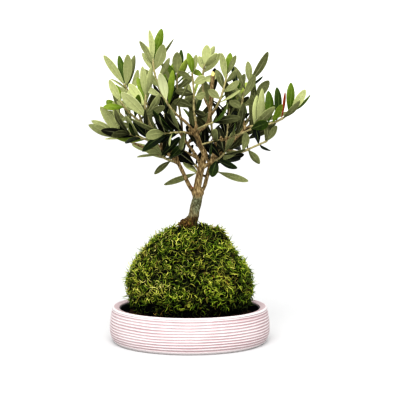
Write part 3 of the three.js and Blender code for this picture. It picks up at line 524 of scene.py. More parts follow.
# Shoots whose leaves follow a rule: name, pairs of leaves, and places
RULE_SHOOTS = (
    ("back_1", 3, ((-52, 250, 31), (-62, 257, 40), (-73, 266, 48), (-84, 277, 54))),
    ("back_2", 3, ((-42, 242, 22), (-44, 254, 34), (-48, 272, 46), (-52, 290, 52))),
    ("back_3", 4, ((-10, 251, 50), (-18, 266, 55), (-24, 288, 55), (-24, 312, 50))),
    ("back_4", 4, ((-2, 240, 40), (4, 250, 54), (6, 270, 66), (4, 292, 74))),
    ("back_5", 3, ((33, 237, 33), (28, 250, 42), (26, 270, 52), (26, 296, 56))),
    ("back_6", 3, ((35, 242, 37), (44, 254, 44), (52, 274, 48), (56, 298, 48))),
    ("back_7", 3, ((31, 232, 29), (46, 240, 42), (64, 252, 52), (84, 266, 56))),
    ("back_8", 3, ((50, 242, -10), (60, 252, 8), (72, 272, 20), (80, 292, 26))),
    ("back_9", 3, ((10, 222, 20), (-4, 230, 34), (-20, 236, 52), (-34, 246, 66))),
    ("middle_1", 4, ((-24, 232, -17), (-26, 242, -8), (-29, 258, 2), (-30, 276, 8))),
    ("middle_3", 4, ((44, 234, -9), (44, 246, -2), (46, 262, 4), (48, 282, 8))),
    ("middle_2", 6, ((24, 214, 17), (20, 226, 28), (16, 238, 42), (13, 250, 58))),
    ("back_10", 5, ((28, 226, 24), (40, 230, 36), (54, 236, 44), (70, 246, 48))),
    ("low_1", 6, ((12.4, 205, 2), (8, 213, 16), (-1, 221, 32), (-8, 229, 50))),
    ("low_2", 6, ((23, 208, 15), (28, 214, 28), (35, 222, 42), (42, 230, 58))),
    ("front_1", 4, ((4, 252, -28), (-6, 254, -44), (-17, 254, -55), (-30, 253, -62))),
    ("front_2", 4, ((5, 251, -26), (10, 258, -42), (18, 262, -54), (28, 266, -62))),
    ("front_3", 4, ((37, 243, -33), (35, 244, -46), (28, 243, -57), (16, 240, -66))),
    ("front_4", 3, ((37, 244, -34), (48, 248, -47), (60, 252, -57), (74, 258, -65))),
    ("front_5", 4, ((-35, 243, -21), (-45, 245, -36), (-58, 247, -49), (-72, 252, -59))),
)

# The crown's outline from the front, which leaves by rule keep inside
CROWN_EDGE = (
    (-22, 220), (-58, 230), (-98, 246), (-119, 262), (-106, 290), (-102, 340), (-60, 349), (-46, 376),
    (-30, 374), (-12, 352), (30, 356), (54, 346), (68, 338), (90, 346), (92, 320), (110, 308), (134, 300),
    (122, 272), (84, 262), (70, 248), (68, 228), (40, 216), (10, 214),
)


def between(low, high, share):
    return low + (high - low) * share


def unit(vectors):
    return vectors / np.linalg.norm(vectors, axis=-1, keepdims=True)


def about_axis(radius, turn, height):
    """Points at a radius and a turn round the vertical axis, and at a height."""
    parts = np.broadcast_arrays(radius * np.cos(turn), radius * np.sin(turn), height)
    return np.stack(parts, axis=-1)


def lattice_noise(points, size, seed):
    """Smooth noise from -1 to 1. Space is cut into cubes of the given size, each corner draws a
    value from its whole-number place and the seed, and a point mixes its cube's eight corners,
    eased along each axis."""
    scaled = np.asarray(points, float) / size
    corner = np.floor(scaled).astype(np.int64)
    part = scaled - corner
    ease = part * part * (3 - 2 * part)
    total = np.zeros(scaled.shape[:-1])
    for step in np.ndindex(2, 2, 2):
        x, y, z = np.moveaxis(corner + step, -1, 0)
        mixed = (x * 73856093) ^ (y * 19349663) ^ (z * 83492791) ^ (seed * 2654435761)
        mixed = ((mixed ^ (mixed >> 13)) * 1274126177) & WORD
        mixed = ((mixed ^ (mixed >> 16)) * 668265263) & WORD
        weight = np.prod(np.where(step, ease, 1 - ease), axis=-1)
        total += weight * ((mixed >> 8 & 0xFFFF) / 32767.5 - 1)
    return total


def rough(points, layers):
    """Noise of several sizes added up: each layer gives its amount, its size and its seed."""
    return sum(amount * lattice_noise(points, size, seed) for amount, size, seed in layers)


# Skins and pieces


class Skin:
    """Points with the quads and triangles between them. values holds one number a point for each
    named value that a material reads, and slots the number of each face's material."""

    def __init__(self, points, quads, triangles, values=None, slots=None):
        self.points = points
        self.quads = quads
        self.triangles = triangles
        self.values = values or {}
        self.slots = np.zeros(len(quads) + len(triangles), int) if slots is None else slots


def joined(skins):
    """One skin of several, with each one's points counted on from the last. A value that a skin
    lacks is 0 there."""
    starts = np.cumsum([0] + [len(skin.points) for skin in skins])
    values = {
        name: np.concatenate([skin.values.get(name, np.zeros(len(skin.points))) for skin in skins])
        for name in sorted({name for skin in skins for name in skin.values})
    }
    slots = [skin.slots[:len(skin.quads)] for skin in skins]
    slots += [skin.slots[len(skin.quads):] for skin in skins]
    return Skin(
        np.concatenate([skin.points for skin in skins]),
        np.concatenate([skin.quads + start for skin, start in zip(skins, starts)]),
        np.concatenate([skin.triangles + start for skin, start in zip(skins, starts)]),
        values,
        np.concatenate(slots),
    )


def lofted(rings, starts=None, ends=None, looped=False, values=None):
    """Skins of many tubes at once. rings is (tubes, rows, columns, 3): the columns run round each
    ring, anticlockwise as seen from the end, and quads join each ring to the next. A fan closes the
    first ring to starts and the last to ends, (tubes, 3) each. A looped tube's last ring meets its
    first. values gives (tubes, rows, columns) numbers, and a fan's tip takes its ring's mean."""
    tubes, rows, columns, _ = rings.shape
    index = np.arange(tubes * rows * columns).reshape(tubes, rows, columns)
    right = np.roll(index, -1, axis=2)
    above, above_right = np.roll(index, -1, axis=1), np.roll(right, -1, axis=1)
    quads = np.stack([index, right, above_right, above], axis=-1)
    if not looped:
        quads = quads[:, :-1]
    points = [rings.reshape(-1, 3)]
    carried = {name: [value.reshape(-1)] for name, value in (values or {}).items()}
    fans = [np.zeros((0, 3), int)]
    count = index.size
    for tips, row in ((starts, 0), (ends, rows - 1)):
        if tips is None:
            continue
        points.append(tips)
        tip = np.repeat(count + np.arange(tubes), columns).reshape(tubes, columns)
        pair = (right[:, row], index[:, row]) if row == 0 else (index[:, row], right[:, row])
        fans.append(np.stack([tip, *pair], axis=-1).reshape(-1, 3))
        for name in carried:
            carried[name].append(values[name][:, row].mean(axis=1))
        count += tubes
    carried = {name: np.concatenate(parts) for name, parts in carried.items()}
    return Skin(np.concatenate(points), quads.reshape(-1, 4), np.concatenate(fans), carried)


def revolved(profile, turns, shift=None):
    """A profile of (radius, height) rows turned round the vertical axis. Its first and last rows
    lie on the axis and close as fans, and shift moves the points of the rings."""
    angle = np.linspace(0, 2 * np.pi, turns, endpoint=False)
    rings = about_axis(profile[1:-1, :1], angle, profile[1:-1, 1:])
    if shift is not None:
        rings = shift(rings)
    return lofted(rings[None], *[UP[None] * profile[row, 1] for row in (0, -1)])


def arc(centre, radius, first, last, steps):
    """Points of an arc in a profile, from the angle first to last in degrees."""
    angle = np.radians(np.linspace(first, last, steps))
    return np.stack(
        [centre[0] + radius * np.cos(angle), centre[1] + radius * np.sin(angle)], axis=-1
    )


def run(start, end, spacing):
    """Points from start up to, and without, end, about the spacing apart."""
    start, end = np.asarray(start, float), np.asarray(end, float)
    steps = max(1, round(np.linalg.norm(end - start) / spacing))
    return start + (end - start) * np.arange(steps)[:, None] / steps


def add_piece(name, skin, materials, nodes, smooth=True):
    """Makes an object of a skin, in metres, with its named values as attributes of the points. It
    rides on the one body and stands for the CAD nodes named."""
    mesh = bpy.data.meshes.new(name)
    mesh.vertices.add(len(skin.points))
    mesh.vertices.foreach_set("co", (skin.points * MM).astype(np.float32).ravel())
    corners = np.concatenate([skin.quads.ravel(), skin.triangles.ravel()]).astype(np.int32)
    sizes = np.repeat([4, 3], [len(skin.quads), len(skin.triangles)])
    mesh.loops.add(len(corners))
    mesh.polygons.add(len(sizes))
    mesh.polygons.foreach_set("loop_start", (np.cumsum(sizes) - sizes).astype(np.int32))
    mesh.polygons.foreach_set("vertices", corners)
    mesh.polygons.foreach_set("material_index", skin.slots.astype(np.int32))
    mesh.polygons.foreach_set("use_smooth", np.full(len(sizes), smooth))
    for key, value in skin.values.items():
        attribute = mesh.attributes.new(key, "FLOAT", "POINT")
        attribute.data.foreach_set("value", np.asarray(value, np.float32))
    mesh.update(calc_edges=True)
    if mesh.validate():
        raise RuntimeError(f"{name} has faces that can't be used")
    for material in materials:
        mesh.materials.append(material)
    piece = bpy.data.objects.new(name, mesh)
    bpy.context.scene.collection.objects.link(piece)
    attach(piece, "root")
    if nodes:
        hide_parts(*nodes)


# Materials


def linear(code):
    """Linear RGBA of an sRGB hex colour such as "#8fb23e"."""
    parts = [int(code[i:i + 2], 16) / 255 for i in (1, 3, 5)]
    return (*[p / 12.92 if p <= 0.04045 else ((p + 0.055) / 1.055) ** 2.4 for p in parts], 1.0)


def add_node(tree, kind, sockets=None, out=0, stops=None, **settings):
    """Adds a shader node and returns its output of the name or number out, if it has any. settings
    are its own properties, stops the (place, hex colour) pairs of a ramp, and sockets gives each
    input a value or another node's output."""
    node = tree.nodes.new("ShaderNode" + kind)
    for key, value in settings.items():
        setattr(node, key, value)
    if stops:
        elements = node.color_ramp.elements
        elements.remove(elements[1])
        elements[0].position, elements[0].color = stops[0][0], linear(stops[0][1])
        for place, code in stops[1:]:
            elements.new(place).color = linear(code)
    for key, value in (sockets or {}).items():
        if isinstance(value, bpy.types.NodeSocket):
            tree.links.new(value, node.inputs[key])
        else:
            node.inputs[key].default_value = value
    return node.outputs[out] if node.outputs else None


# Inputs and output of a Mix node set to colours. A Map Range node's inputs are numbered too: 0 is
# the value, 1 and 2 are the ends of the range it comes in, and 3 and 4 those of the one it leaves in.
FACTOR, FIRST, SECOND, MIXED = 0, 6, 7, 2


def new_tree(name):
    material = bpy.data.materials.new(name)
    material.use_nodes = True
    material.node_tree.nodes.clear()
    return material, material.node_tree


def close_tree(tree, surface, height=None, depth=0):
    """Gives a material its surface: settings of a Principled shader, raised where height is given
    by that height over the depth in millimetres."""
    if height is not None:
        bump = add_node(tree, "Bump", {"Height": height, "Distance": depth * MM})
        surface = {**surface, "Normal": bump}
    shader = add_node(tree, "BsdfPrincipled", surface)
    add_node(tree, "OutputMaterial", {"Surface": shader})


def speckle(tree, size, detail=2.0, stretch=None):
    """Noise on the object's own coordinates whose grains are about size millimetres across, drawn
    out along an axis where stretch gives other factors for x, y and z."""
    place = add_node(tree, "TexCoord", out="Object")
    if stretch:
        place = add_node(tree, "Mapping", {"Vector": place, "Scale": stretch})
    sockets = {"Vector": place, "Scale": 1 / (size * MM), "Detail": detail}
    return add_node(tree, "TexNoise", sockets, "Fac")


def grained(name, grain, stops, surface, depth=0, relief=None):
    """A material in one grain: a ramp of colours over its noise, raised by depth millimetres over
    the same noise, or over another where relief gives one."""
    material, tree = new_tree(name)
    noise = speckle(tree, *grain)
    height = speckle(tree, *relief) if relief else noise
    surface["Base Color"] = add_node(tree, "ValToRGB", {0: noise}, stops=stops)
    close_tree(tree, surface, height if depth else None, depth)
    return material


def slip_over_stoneware():
    """Matt white slip wiped over dusty pink stoneware. The slip is thin in the grooves and on the
    lip, where the body's pink shows through it in a soft, broken line."""
    material, tree = new_tree("White slip on thrown pink stoneware")
    look = bpy.context.scene.kokedama_dish
    patches = add_node(tree, "MapRange", {0: speckle(tree, 9, 3), 1: 0.35, 2: 0.6, 3: 0.88, 4: 1.0})
    bare = add_node(tree, "Attribute", out="Fac", attribute_name="bare")
    shown = add_node(tree, "Math", {0: bare, 1: patches}, operation="MULTIPLY")
    sockets = {FACTOR: shown, FIRST: (*look.slip, 1), SECOND: (*look.body, 1)}
    colour = add_node(tree, "Mix", sockets, MIXED, data_type="RGBA")
    surface = {"Base Color": colour, "Roughness": 0.48, "Specular IOR Level": 0.35}
    close_tree(tree, surface, speckle(tree, 0.9), 0.12)
    return material


def pressed_polypropylene():
    """Thin black polypropylene, vacuum pressed: a soft sheen and a faint dust of soil."""
    stops = ((0.45, "#0b0c0d"), (0.8, "#221f1b"))
    sheen = {"Roughness": 0.42}
    return grained("Black pressed polypropylene", (6, 4), stops, sheen, 0.1, relief=(1.5,))


def peaty_soil():
    """Damp peat and bark fines: near black, with browner crumbs, and no shine."""
    stops = ((0.3, "#17100b"), (0.52, "#33241a"), (0.68, "#59402a"), (0.8, "#7a5b3c"))
    return grained(
        "Damp peat soil", (2.2, 5), stops, {"Roughness": 0.95, "Specular IOR Level": 0.2}, 0.8
    )


def rooty_earth():
    """Earth with bits of root and bark in it: olive brown crumbs among near black ones."""
    stops = ((0.3, "#17110a"), (0.44, "#40311a"), (0.56, "#6e5631"), (0.7, "#a58a55"))
    return grained("Rooty earth", (2.6, 4), stops, {"Roughness": 0.95, "Specular IOR Level": 0.15})


def moss_floor():
    """The dead foot of the moss: dark olive and brown felt that shows in the gaps, made near black as
    painted shade.
    """
    stops = ((0.35, "#050603"), (0.6, "#0d1106"), (0.75, "#1d170a"))
    return grained(
        "Shaded moss felt", (3, 4), stops, {"Roughness": 1.0, "Specular IOR Level": 0.1}, 0.6
    )


def twig_bark():
    """Bark of this year's twigs: smooth, pale tan with a green cast."""
    stops = ((0.3, "#6d6346"), (0.52, "#a39a6c"), (0.75, "#c4b98c"))
    return grained("Olive twig bark", (1.4, 3, (1, 1, 0.4)), stops, {"Roughness": 0.75}, 0.15)


def living_moss():
    """Fronds of sheet moss: each one has its own green, from deep to yellow, it is darker as painted
    shade where it lies deep among the others, and in dry patches it has gone straw brown."""
    material, tree = new_tree("Living sheet moss")
    tint, dry, reach = (
        add_node(tree, "Attribute", out="Fac", attribute_name=name)
        for name in ("tint", "dry", "reach")
    )
    stops = (
        (0.0, "#10180a"), (0.22, "#33430f"), (0.45, "#6a8620"), (0.65, "#a9b93f"), (0.83, "#dad968"),
        (1.0, "#f2ea9e"),
    )
    green = add_node(tree, "ValToRGB", {0: tint}, stops=stops)
    sockets = {FACTOR: dry, FIRST: green, SECOND: (*bpy.context.scene.kokedama_moss.straw, 1)}
    mixed = add_node(tree, "Mix", sockets, MIXED, data_type="RGBA")
    # Painted shade: the deeper a frond's ring lies under the others, the darker its colour.
    shade = add_node(tree, "MapRange", {0: reach, 1: 0.23, 2: 0.87, 3: 0.04, 4: 1.0})
    sockets = {FACTOR: 1.0, FIRST: mixed, SECOND: shade}
    colour = add_node(tree, "Mix", sockets, MIXED, data_type="RGBA", blend_type="MULTIPLY")
    close_tree(tree, {"Base Color": colour, "Roughness": 0.7, "Specular IOR Level": 0.25})
    return material


def olive_bark():
    """Young olive bark: thin and finely fissured, grey green with lichen on the trunk below the
    collar and tan above it, and brown with earth at the foot. Fresh pruning cuts are pale yellow
    wood, and a scar is red brown."""
    material, tree = new_tree("Olive bark")
    fissures = speckle(tree, 1.6, 4, (1, 1, 0.28))
    blotches = speckle(tree, 1.8, 5, (1, 1, 0.8))
    stops = ((0.3, "#3d3019"), (0.46, "#776443"), (0.6, "#9f8b64"), (0.8, "#c7b892"))
    skin = add_node(tree, "ValToRGB", {0: fissures}, stops=stops)
    stops = ((0.34, "#3b3826"), (0.45, "#595a40"), (0.55, "#72755a"), (0.68, "#90937a"))
    grey = add_node(tree, "ValToRGB", {0: blotches}, stops=stops)
    stops = ((0.35, "#251b0d"), (0.55, "#51401f"), (0.7, "#7a6433"))
    earthy = add_node(tree, "ValToRGB", {0: fissures}, stops=stops)
    scar, wood = linear("#7d4632"), linear("#ead98c")
    for name, colour in (("lichen", grey), ("earth", earthy), ("scar", scar), ("cut", wood)):
        share = add_node(tree, "Attribute", out="Fac", attribute_name=name)
        sockets = {FACTOR: share, FIRST: skin, SECOND: colour}
        skin = add_node(tree, "Mix", sockets, MIXED, data_type="RGBA")
    surface = {"Base Color": skin, "Roughness": 0.82, "Specular IOR Level": 0.3}
    close_tree(tree, surface, fissures, 0.5)
    return material


def blade_face(name, stops, midrib, vein_depth, surface, depth):
    """One face of a blade. The ramp runs on the blade's tone, which holds its age and painted light and
    shade, mottled a little, and paler towards the tip and at the rim. The midrib is a line down the
    middle that fades towards the tip, and side veins leave it at a slant. The leaf that is dying back is
    russet instead."""
    material, tree = new_tree(name)
    tone, across, along, russet = (
        add_node(tree, "Attribute", out="Fac", attribute_name=key)
        for key in ("tone", "across", "along", "russet")
    )
    across = add_node(tree, "Math", {0: across}, operation="ABSOLUTE")
    mottle = {0: speckle(tree, 3, 3), 1: 0.3, 2: 0.7, 3: -0.04, 4: 0.04}
    paler = {0: along, 3: -0.05, 4: 0.07}
    rim = {0: across, 1: 0.8, 2: 0.95, 3: 0.0, 4: 0.14}
    for sockets in (mottle, paler, rim):
        change = add_node(tree, "MapRange", sockets)
        tone = add_node(tree, "Math", {0: tone, 1: change}, operation="ADD")
    face = add_node(tree, "ValToRGB", {0: tone}, stops=stops)
    near = add_node(tree, "MapRange", {0: across, 1: 0.03, 2: 0.15, 3: 1.0, 4: 0.0})
    fading = add_node(tree, "MapRange", {0: along, 1: 0.3, 2: 1.0, 3: 0.3, 4: 0.0})
    rib = add_node(tree, "Math", {0: near, 1: fading}, operation="MULTIPLY")
    for share, colour in ((rib, midrib), (russet, "#8f3d1e")):
        sockets = {FACTOR: share, FIRST: face, SECOND: linear(colour)}
        face = add_node(tree, "Mix", sockets, MIXED, data_type="RGBA")
    slant = add_node(tree, "Math", {0: across, 1: -0.16, 2: along}, operation="MULTIPLY_ADD")
    comb = add_node(tree, "Math", {0: slant, 1: 75.0}, operation="MULTIPLY")
    veins = add_node(tree, "Math", {0: comb}, operation="SINE")
    height = add_node(tree, "Math", {0: veins, 1: vein_depth, 2: near}, operation="MULTIPLY_ADD")
    close_tree(tree, {**surface, "Base Color": face}, height, depth)
    return material


def waxy_leaf_face():
    """Upper face of an olive leaf: a waxy cuticle, deep green and fairly glossy, yellower on young and
    lit leaves and near black where its tone paints deep shade, with a pale midrib sunk in it."""
    stops = (
        (0.0, "#030504"), (0.2, "#0f170f"), (0.35, "#243118"), (0.5, "#3f531b"), (0.65, "#617623"),
        (0.8, "#87983f"), (1.0, "#b3bd6a"),
    )
    gloss = {"Roughness": 0.42, "Specular IOR Level": 0.1}
    return blade_face("Olive leaf, waxy upper face", stops, "#9fb36a", -0.12, gloss, -0.15)


def scaled_leaf_face():
    """Underside of an olive leaf: a felt of tiny scales, matt silver green, near black where its tone
    paints deep shade and palest where it paints light, with a raised midrib.
    """
    stops = (
        (0.0, "#0b0c08"), (0.2, "#2e3020"), (0.35, "#5e6140"), (0.5, "#8b9064"), (0.65, "#a8ad7a"),
        (0.8, "#cbd195"), (0.9, "#dfe5a8"), (1.0, "#ecf1c0"),
    )
    felt = {"Roughness": 0.8, "Specular IOR Level": 0.08}
    return blade_face("Olive leaf, scaly underside", stops, "#d6d9a6", 0.1, felt, 0.2)


# Dish, tray and soil


def dish_wall(height):
    """Radius of the wall: below the widest height a power of the depth is taken off, above it the
    square of the climb."""
    down = np.clip((WIDEST_HEIGHT - height) / WIDEST_HEIGHT, 0, None)
    up = np.clip((height - WIDEST_HEIGHT) / (DISH_HEIGHT - LIP_DROP - WIDEST_HEIGHT), 0, None)
    below = (DISH_BELLY_RADIUS - DISH_FOOT_RADIUS) * down**FOOT_ROUNDING
    return DISH_BELLY_RADIUS - below - (DISH_BELLY_RADIUS - DISH_RIM_RADIUS) * up**2


def groove_at(height):
    """How deep in a groove a height lies, from 0 on a ridge to 1 at the bottom: a raised cosine,
    narrowed by a power so that the ridges are broad."""
    wave = 0.5 - 0.5 * np.cos(2 * np.pi * ((height - LOWEST_RIB) / RIB_PITCH))
    return np.where(height > LOWEST_RIB, wave**RIDGE_POWER, 0.0)


def dish_skin(rib_depth):
    """The dish's profile, turned round. The wall is a fine run of heights whose radius drops in each
    groove. A groove wanders up and down a little round the dish and changes in depth, by smooth
    noise, as ribs do that are thrown by hand. Points carry how bare of slip they are: the grooves,
    the lip, the inside, and a band under the lip by an exponential of the fourth power."""
    top = DISH_HEIGHT - LIP_DROP
    heights = np.arange(FOOT_EDGE, top, WALL_STEP)
    foot_radius = DISH_FOOT_RADIUS - FOOT_EDGE
    lip = arc((DISH_RIM_RADIUS - LIP_DROP, top), LIP_DROP, 0, 90, 7)
    inner = arc((DISH_INNER_RADIUS + 1, top), 1, 90, 180, 5)
    floor = np.array([[DISH_INNER_RADIUS, DISH_FLOOR + 1], [DISH_INNER_RADIUS - 1, DISH_FLOOR]])
    profile = np.concatenate(
        [
            [[0, 0]],
            run((12, 0), (foot_radius, 0), 16),
            arc((foot_radius, FOOT_EDGE), FOOT_EDGE, -90, -10, 5),
            np.stack([dish_wall(heights), heights], axis=-1),
            lip,
            run(lip[-1] + (-0.8, 0), inner[0], 1.2),
            inner,
            run(inner[-1] + (0, -1), floor[0], 5),
            floor,
            run((DISH_INNER_RADIUS - 12, DISH_FLOOR), (8, DISH_FLOOR), 16),
            [[0, DISH_FLOOR]],
        ]
    )
    radius, height = profile[1:-1, :1], profile[1:-1, 1:]
    on_wall = (radius > DISH_FOOT_RADIUS - 3) & (height > 1.2) & (height < top)
    on_lip = (height > DISH_HEIGHT - 2.6) & (radius < DISH_RIM_RADIUS - 2.0)
    inside = (radius <= DISH_INNER_RADIUS + 0.6) & (height > DISH_FLOOR - 1)
    bare = {}

    def carve(rings):
        x, y, z = np.moveaxis(rings, -1, 0)
        around = about_axis(BAND_RADIUS, np.arctan2(y, x), z * BAND_STRETCH)
        wander = rough(around, RIB_WANDER)
        groove = groove_at(z + wander) * on_wall
        cut = rib_depth * (1 + rough(around, RIB_CHANGE))
        factor = 1 - groove * cut / np.hypot(x, y)
        wiped = np.clip(WIPED_LEVEL + rough(around, SLIP_WIPED), *WIPED_SPAN)
        band = BARE_BAND * np.exp(-(((z + wander - PINK_BAND) / PINK_BAND_HALF) ** 4))
        shown = np.maximum(np.clip(BARE_GROOVE * groove, 0, 1), band * on_wall)
        elsewhere = np.where(on_lip, BARE_LIP, 0) + np.where(inside & ~on_lip, BARE_INSIDE, 0)
        bare["rings"] = shown * wiped + elsewhere
        return rings * np.stack([factor, factor, np.ones_like(factor)], axis=-1)

    skin = revolved(profile, 240, carve)
    tips = bare["rings"][[0, -1]].mean(axis=1)
    skin.values["bare"] = np.concatenate([bare["rings"].ravel(), tips])
    return skin


def tray_skin():
    """A thin tray: floor, wall and a rolled rim, turned round."""
    outer = DISH_INNER_RADIUS - GAP
    inner = outer - TRAY_WALL
    under = DISH_FLOOR + GAP
    over = under + TRAY_WALL
    rim = arc((outer - TRAY_WALL / 2, TRAY_RIM - TRAY_WALL / 2), TRAY_WALL / 2, 0, 180, 7)
    profile = np.concatenate(
        [
            [[0, under]],
            run((15, under), (outer - TRAY_EDGE, under), 14),
            arc((outer - TRAY_EDGE, under + TRAY_EDGE), TRAY_EDGE, -90, 0, 4),
            run((outer, under + 5), (outer, TRAY_RIM - TRAY_WALL / 2), 5),
            rim,
            run((inner, TRAY_RIM - 4), (inner, over + 2), 5),
            arc((inner - TRAY_EDGE, over + TRAY_EDGE), TRAY_EDGE, 0, -90, 4),
            run((inner - 12, over), (8, over), 14),
            [[0, over]],
        ]
    )
    return revolved(profile, 120)


def soil_skin():
    """The ball of soil with its foot spread in the tray and the hole that the root stands in, turned
    round. Its open foot is lumped by two sizes of noise."""
    bottom = DISH_FLOOR + TRAY_WALL + 2 * GAP
    skirt = DISH_INNER_RADIUS - TRAY_WALL - 2 * GAP
    hole = ROOT_RADIUS + GAP
    deep = SOIL_TOP - ROOT_DEPTH
    foot = [(skirt, bottom), (skirt, SOIL_WALL_TOP), *SOIL_FOOT]
    core = [(radius - HIDDEN_ROOM, height - HIDDEN_ROOM) for radius, height in CORE_OUTLINE[::-1]]
    core += [(13, SOIL_TOP), (hole, SOIL_TOP)]
    parts = [[[0, bottom]], run((15, bottom), (skirt, bottom), 12)]
    parts += [run(start, end, 1.6) for start, end in zip(foot, foot[1:] + core[:1])]
    parts += [run(start, end, 8) for start, end in zip(core, core[1:])]
    parts += [run((hole, SOIL_TOP), (hole, deep), 3), [[hole, deep], [0, deep]]]

    def crumble(rings):
        radius = np.hypot(rings[..., 0], rings[..., 1])
        open_foot = (radius > SOIL_OPEN_RADIUS) & (rings[..., 2] > bottom + 2)
        near_wall = np.clip((skirt - 0.3 - radius) / 3, 0, 1)
        rings[..., 2] += np.where(open_foot, rough(rings, SOIL_LUMPS) * near_wall, 0)
        return rings

    return revolved(np.concatenate(parts), 180, crumble)


def crumb_skin(count, seed):
    """Crumbs of soil and bark strewn over the soil's open foot and sunk a little into it."""
    chance = np.random.default_rng(seed)
    turn = chance.uniform(0, 2 * np.pi, count)
    share = chance.uniform(0, 1, count)
    foot = np.array([(DISH_INNER_RADIUS, SOIL_WALL_TOP), *SOIL_FOOT])[::-1]
    radius, height = (np.interp(share, np.linspace(0, 1, len(foot)), line) for line in foot.T)
    size = chance.uniform(*CRUMB_SIZES, count)
    radius = np.minimum(radius, DISH_INNER_RADIUS - TRAY_WALL - GAP - 1 - size)
    return blobs(about_axis(radius, turn, height + 0.2 * size), size, chance)


def root_crumbs(count, seed):
    """Crumbs of earth and bark on a low cone round the left and the front of the trunk's foot."""
    chance = np.random.default_rng(seed)
    turn = np.radians(chance.uniform(*EARTH_TURNS, count))
    radius = chance.uniform(*EARTH_RADII, count)
    size = chance.uniform(*EARTH_SIZES, count)
    centre = about_axis(radius, turn, np.interp(radius, EARTH_RADII, EARTH_HEIGHTS))
    centre[:, 2] += rough(centre, EARTH_LUMPS)
    return blobs(centre + chance.normal(0, EARTH_STRAY, (count, 3)), size, chance)


def blobs(centre, size, chance):
    """Small uneven balls: three rings of six points between two poles, each point's distance from
    the centre drawn at random."""
    count = len(centre)
    tilt = np.radians([-45, 0, 45])[None, :, None]
    way = about_axis(np.cos(tilt), np.arange(6) * np.pi / 3, np.sin(tilt))
    reach = size[:, None, None] * chance.uniform(*CRUMB_REACHES, (count, 3, 6))
    stretch = chance.uniform(*CRUMB_STRETCHES, (count, 1, 1, 3))
    rings = centre[:, None, None] + way * reach[..., None] * stretch
    pole = size[:, None] * UP * stretch[:, 0, 0] * CRUMB_POLE
    return lofted(rings, centre - pole, centre + pole)


# Moss


def moss_outline():
    """The outside of the moss as a smooth profile from its foot to the hole: points, and the share
    of its length at each."""
    outline = np.array(MOSS_OUTLINE[::-1], float)
    fine = Curve(np.insert(outline, 1, 0, axis=1)).at(np.linspace(0, 1, 400))[:, [0, 2]]
    length = np.concatenate([[0], np.cumsum(np.linalg.norm(np.diff(fine, axis=0), axis=1))])
    return length / length[-1], fine


def moss_bed(turn, share, sink):
    """Points of the moss's floor and the way out of it, at a turn and a share of the outline from
    the foot up. The outline is set in by sink. Along the way out, cushions are raised on it by
    noise of two sizes, the right shoulder is dented and each tuft bulges, both by a bell curve."""
    shares, fine = moss_outline()
    radius, height = (np.interp(share, shares, line) for line in fine.T)
    slope = np.gradient(fine, shares, axis=0)
    rise = unit(np.stack([np.interp(share, shares, line) for line in slope.T], axis=-1))
    out = about_axis(rise[..., 1], turn, -rise[..., 0])
    place = about_axis(radius, turn, height)
    edge = np.clip(np.minimum(share, 1 - share) / CUSHION_EDGE, 0, 1)
    right = np.clip(np.cos(turn), 0, 1)
    dent = SHOULDER_DENT * right**2 * np.exp(-(((height - SHOULDER_HEIGHT) / SHOULDER_SPAN) ** 2))
    bulge = rough(place, CUSHIONS) * edge - dent - sink
    for reach, tuft_turn, tuft_share, turn_span, share_span in TUFTS:
        aside = (turn - tuft_turn + np.pi) % (2 * np.pi) - np.pi
        near = (aside / turn_span) ** 2 + ((share - tuft_share) / share_span) ** 2
        bulge = bulge + reach * np.exp(-near)
    return place + out * bulge[..., None], out


def moss_bed_skin(sink):
    """The floor of the moss turned round as a shell over the soil: its outside, then back down the
    inside."""
    share = np.linspace(0, 1, 60)[:, None]
    turn = np.linspace(0, 2 * np.pi, 150, endpoint=False)
    outside, _ = moss_bed(*np.broadcast_arrays(turn, share), sink)
    core = [(MOSS_HOLE_RADIUS, SOIL_TOP + 1.5)]
    core += [(radius - 1, height - 1) for radius, height in CORE_OUTLINE[:-1]]
    core.append((CORE_OUTLINE[-1][0] + 2 * GAP, MOSS_FOOT))
    core = np.array(core)
    inside = about_axis(core[:, :1], turn, core[:, 1:])
    return lofted(np.concatenate([outside, inside])[None], looped=True)


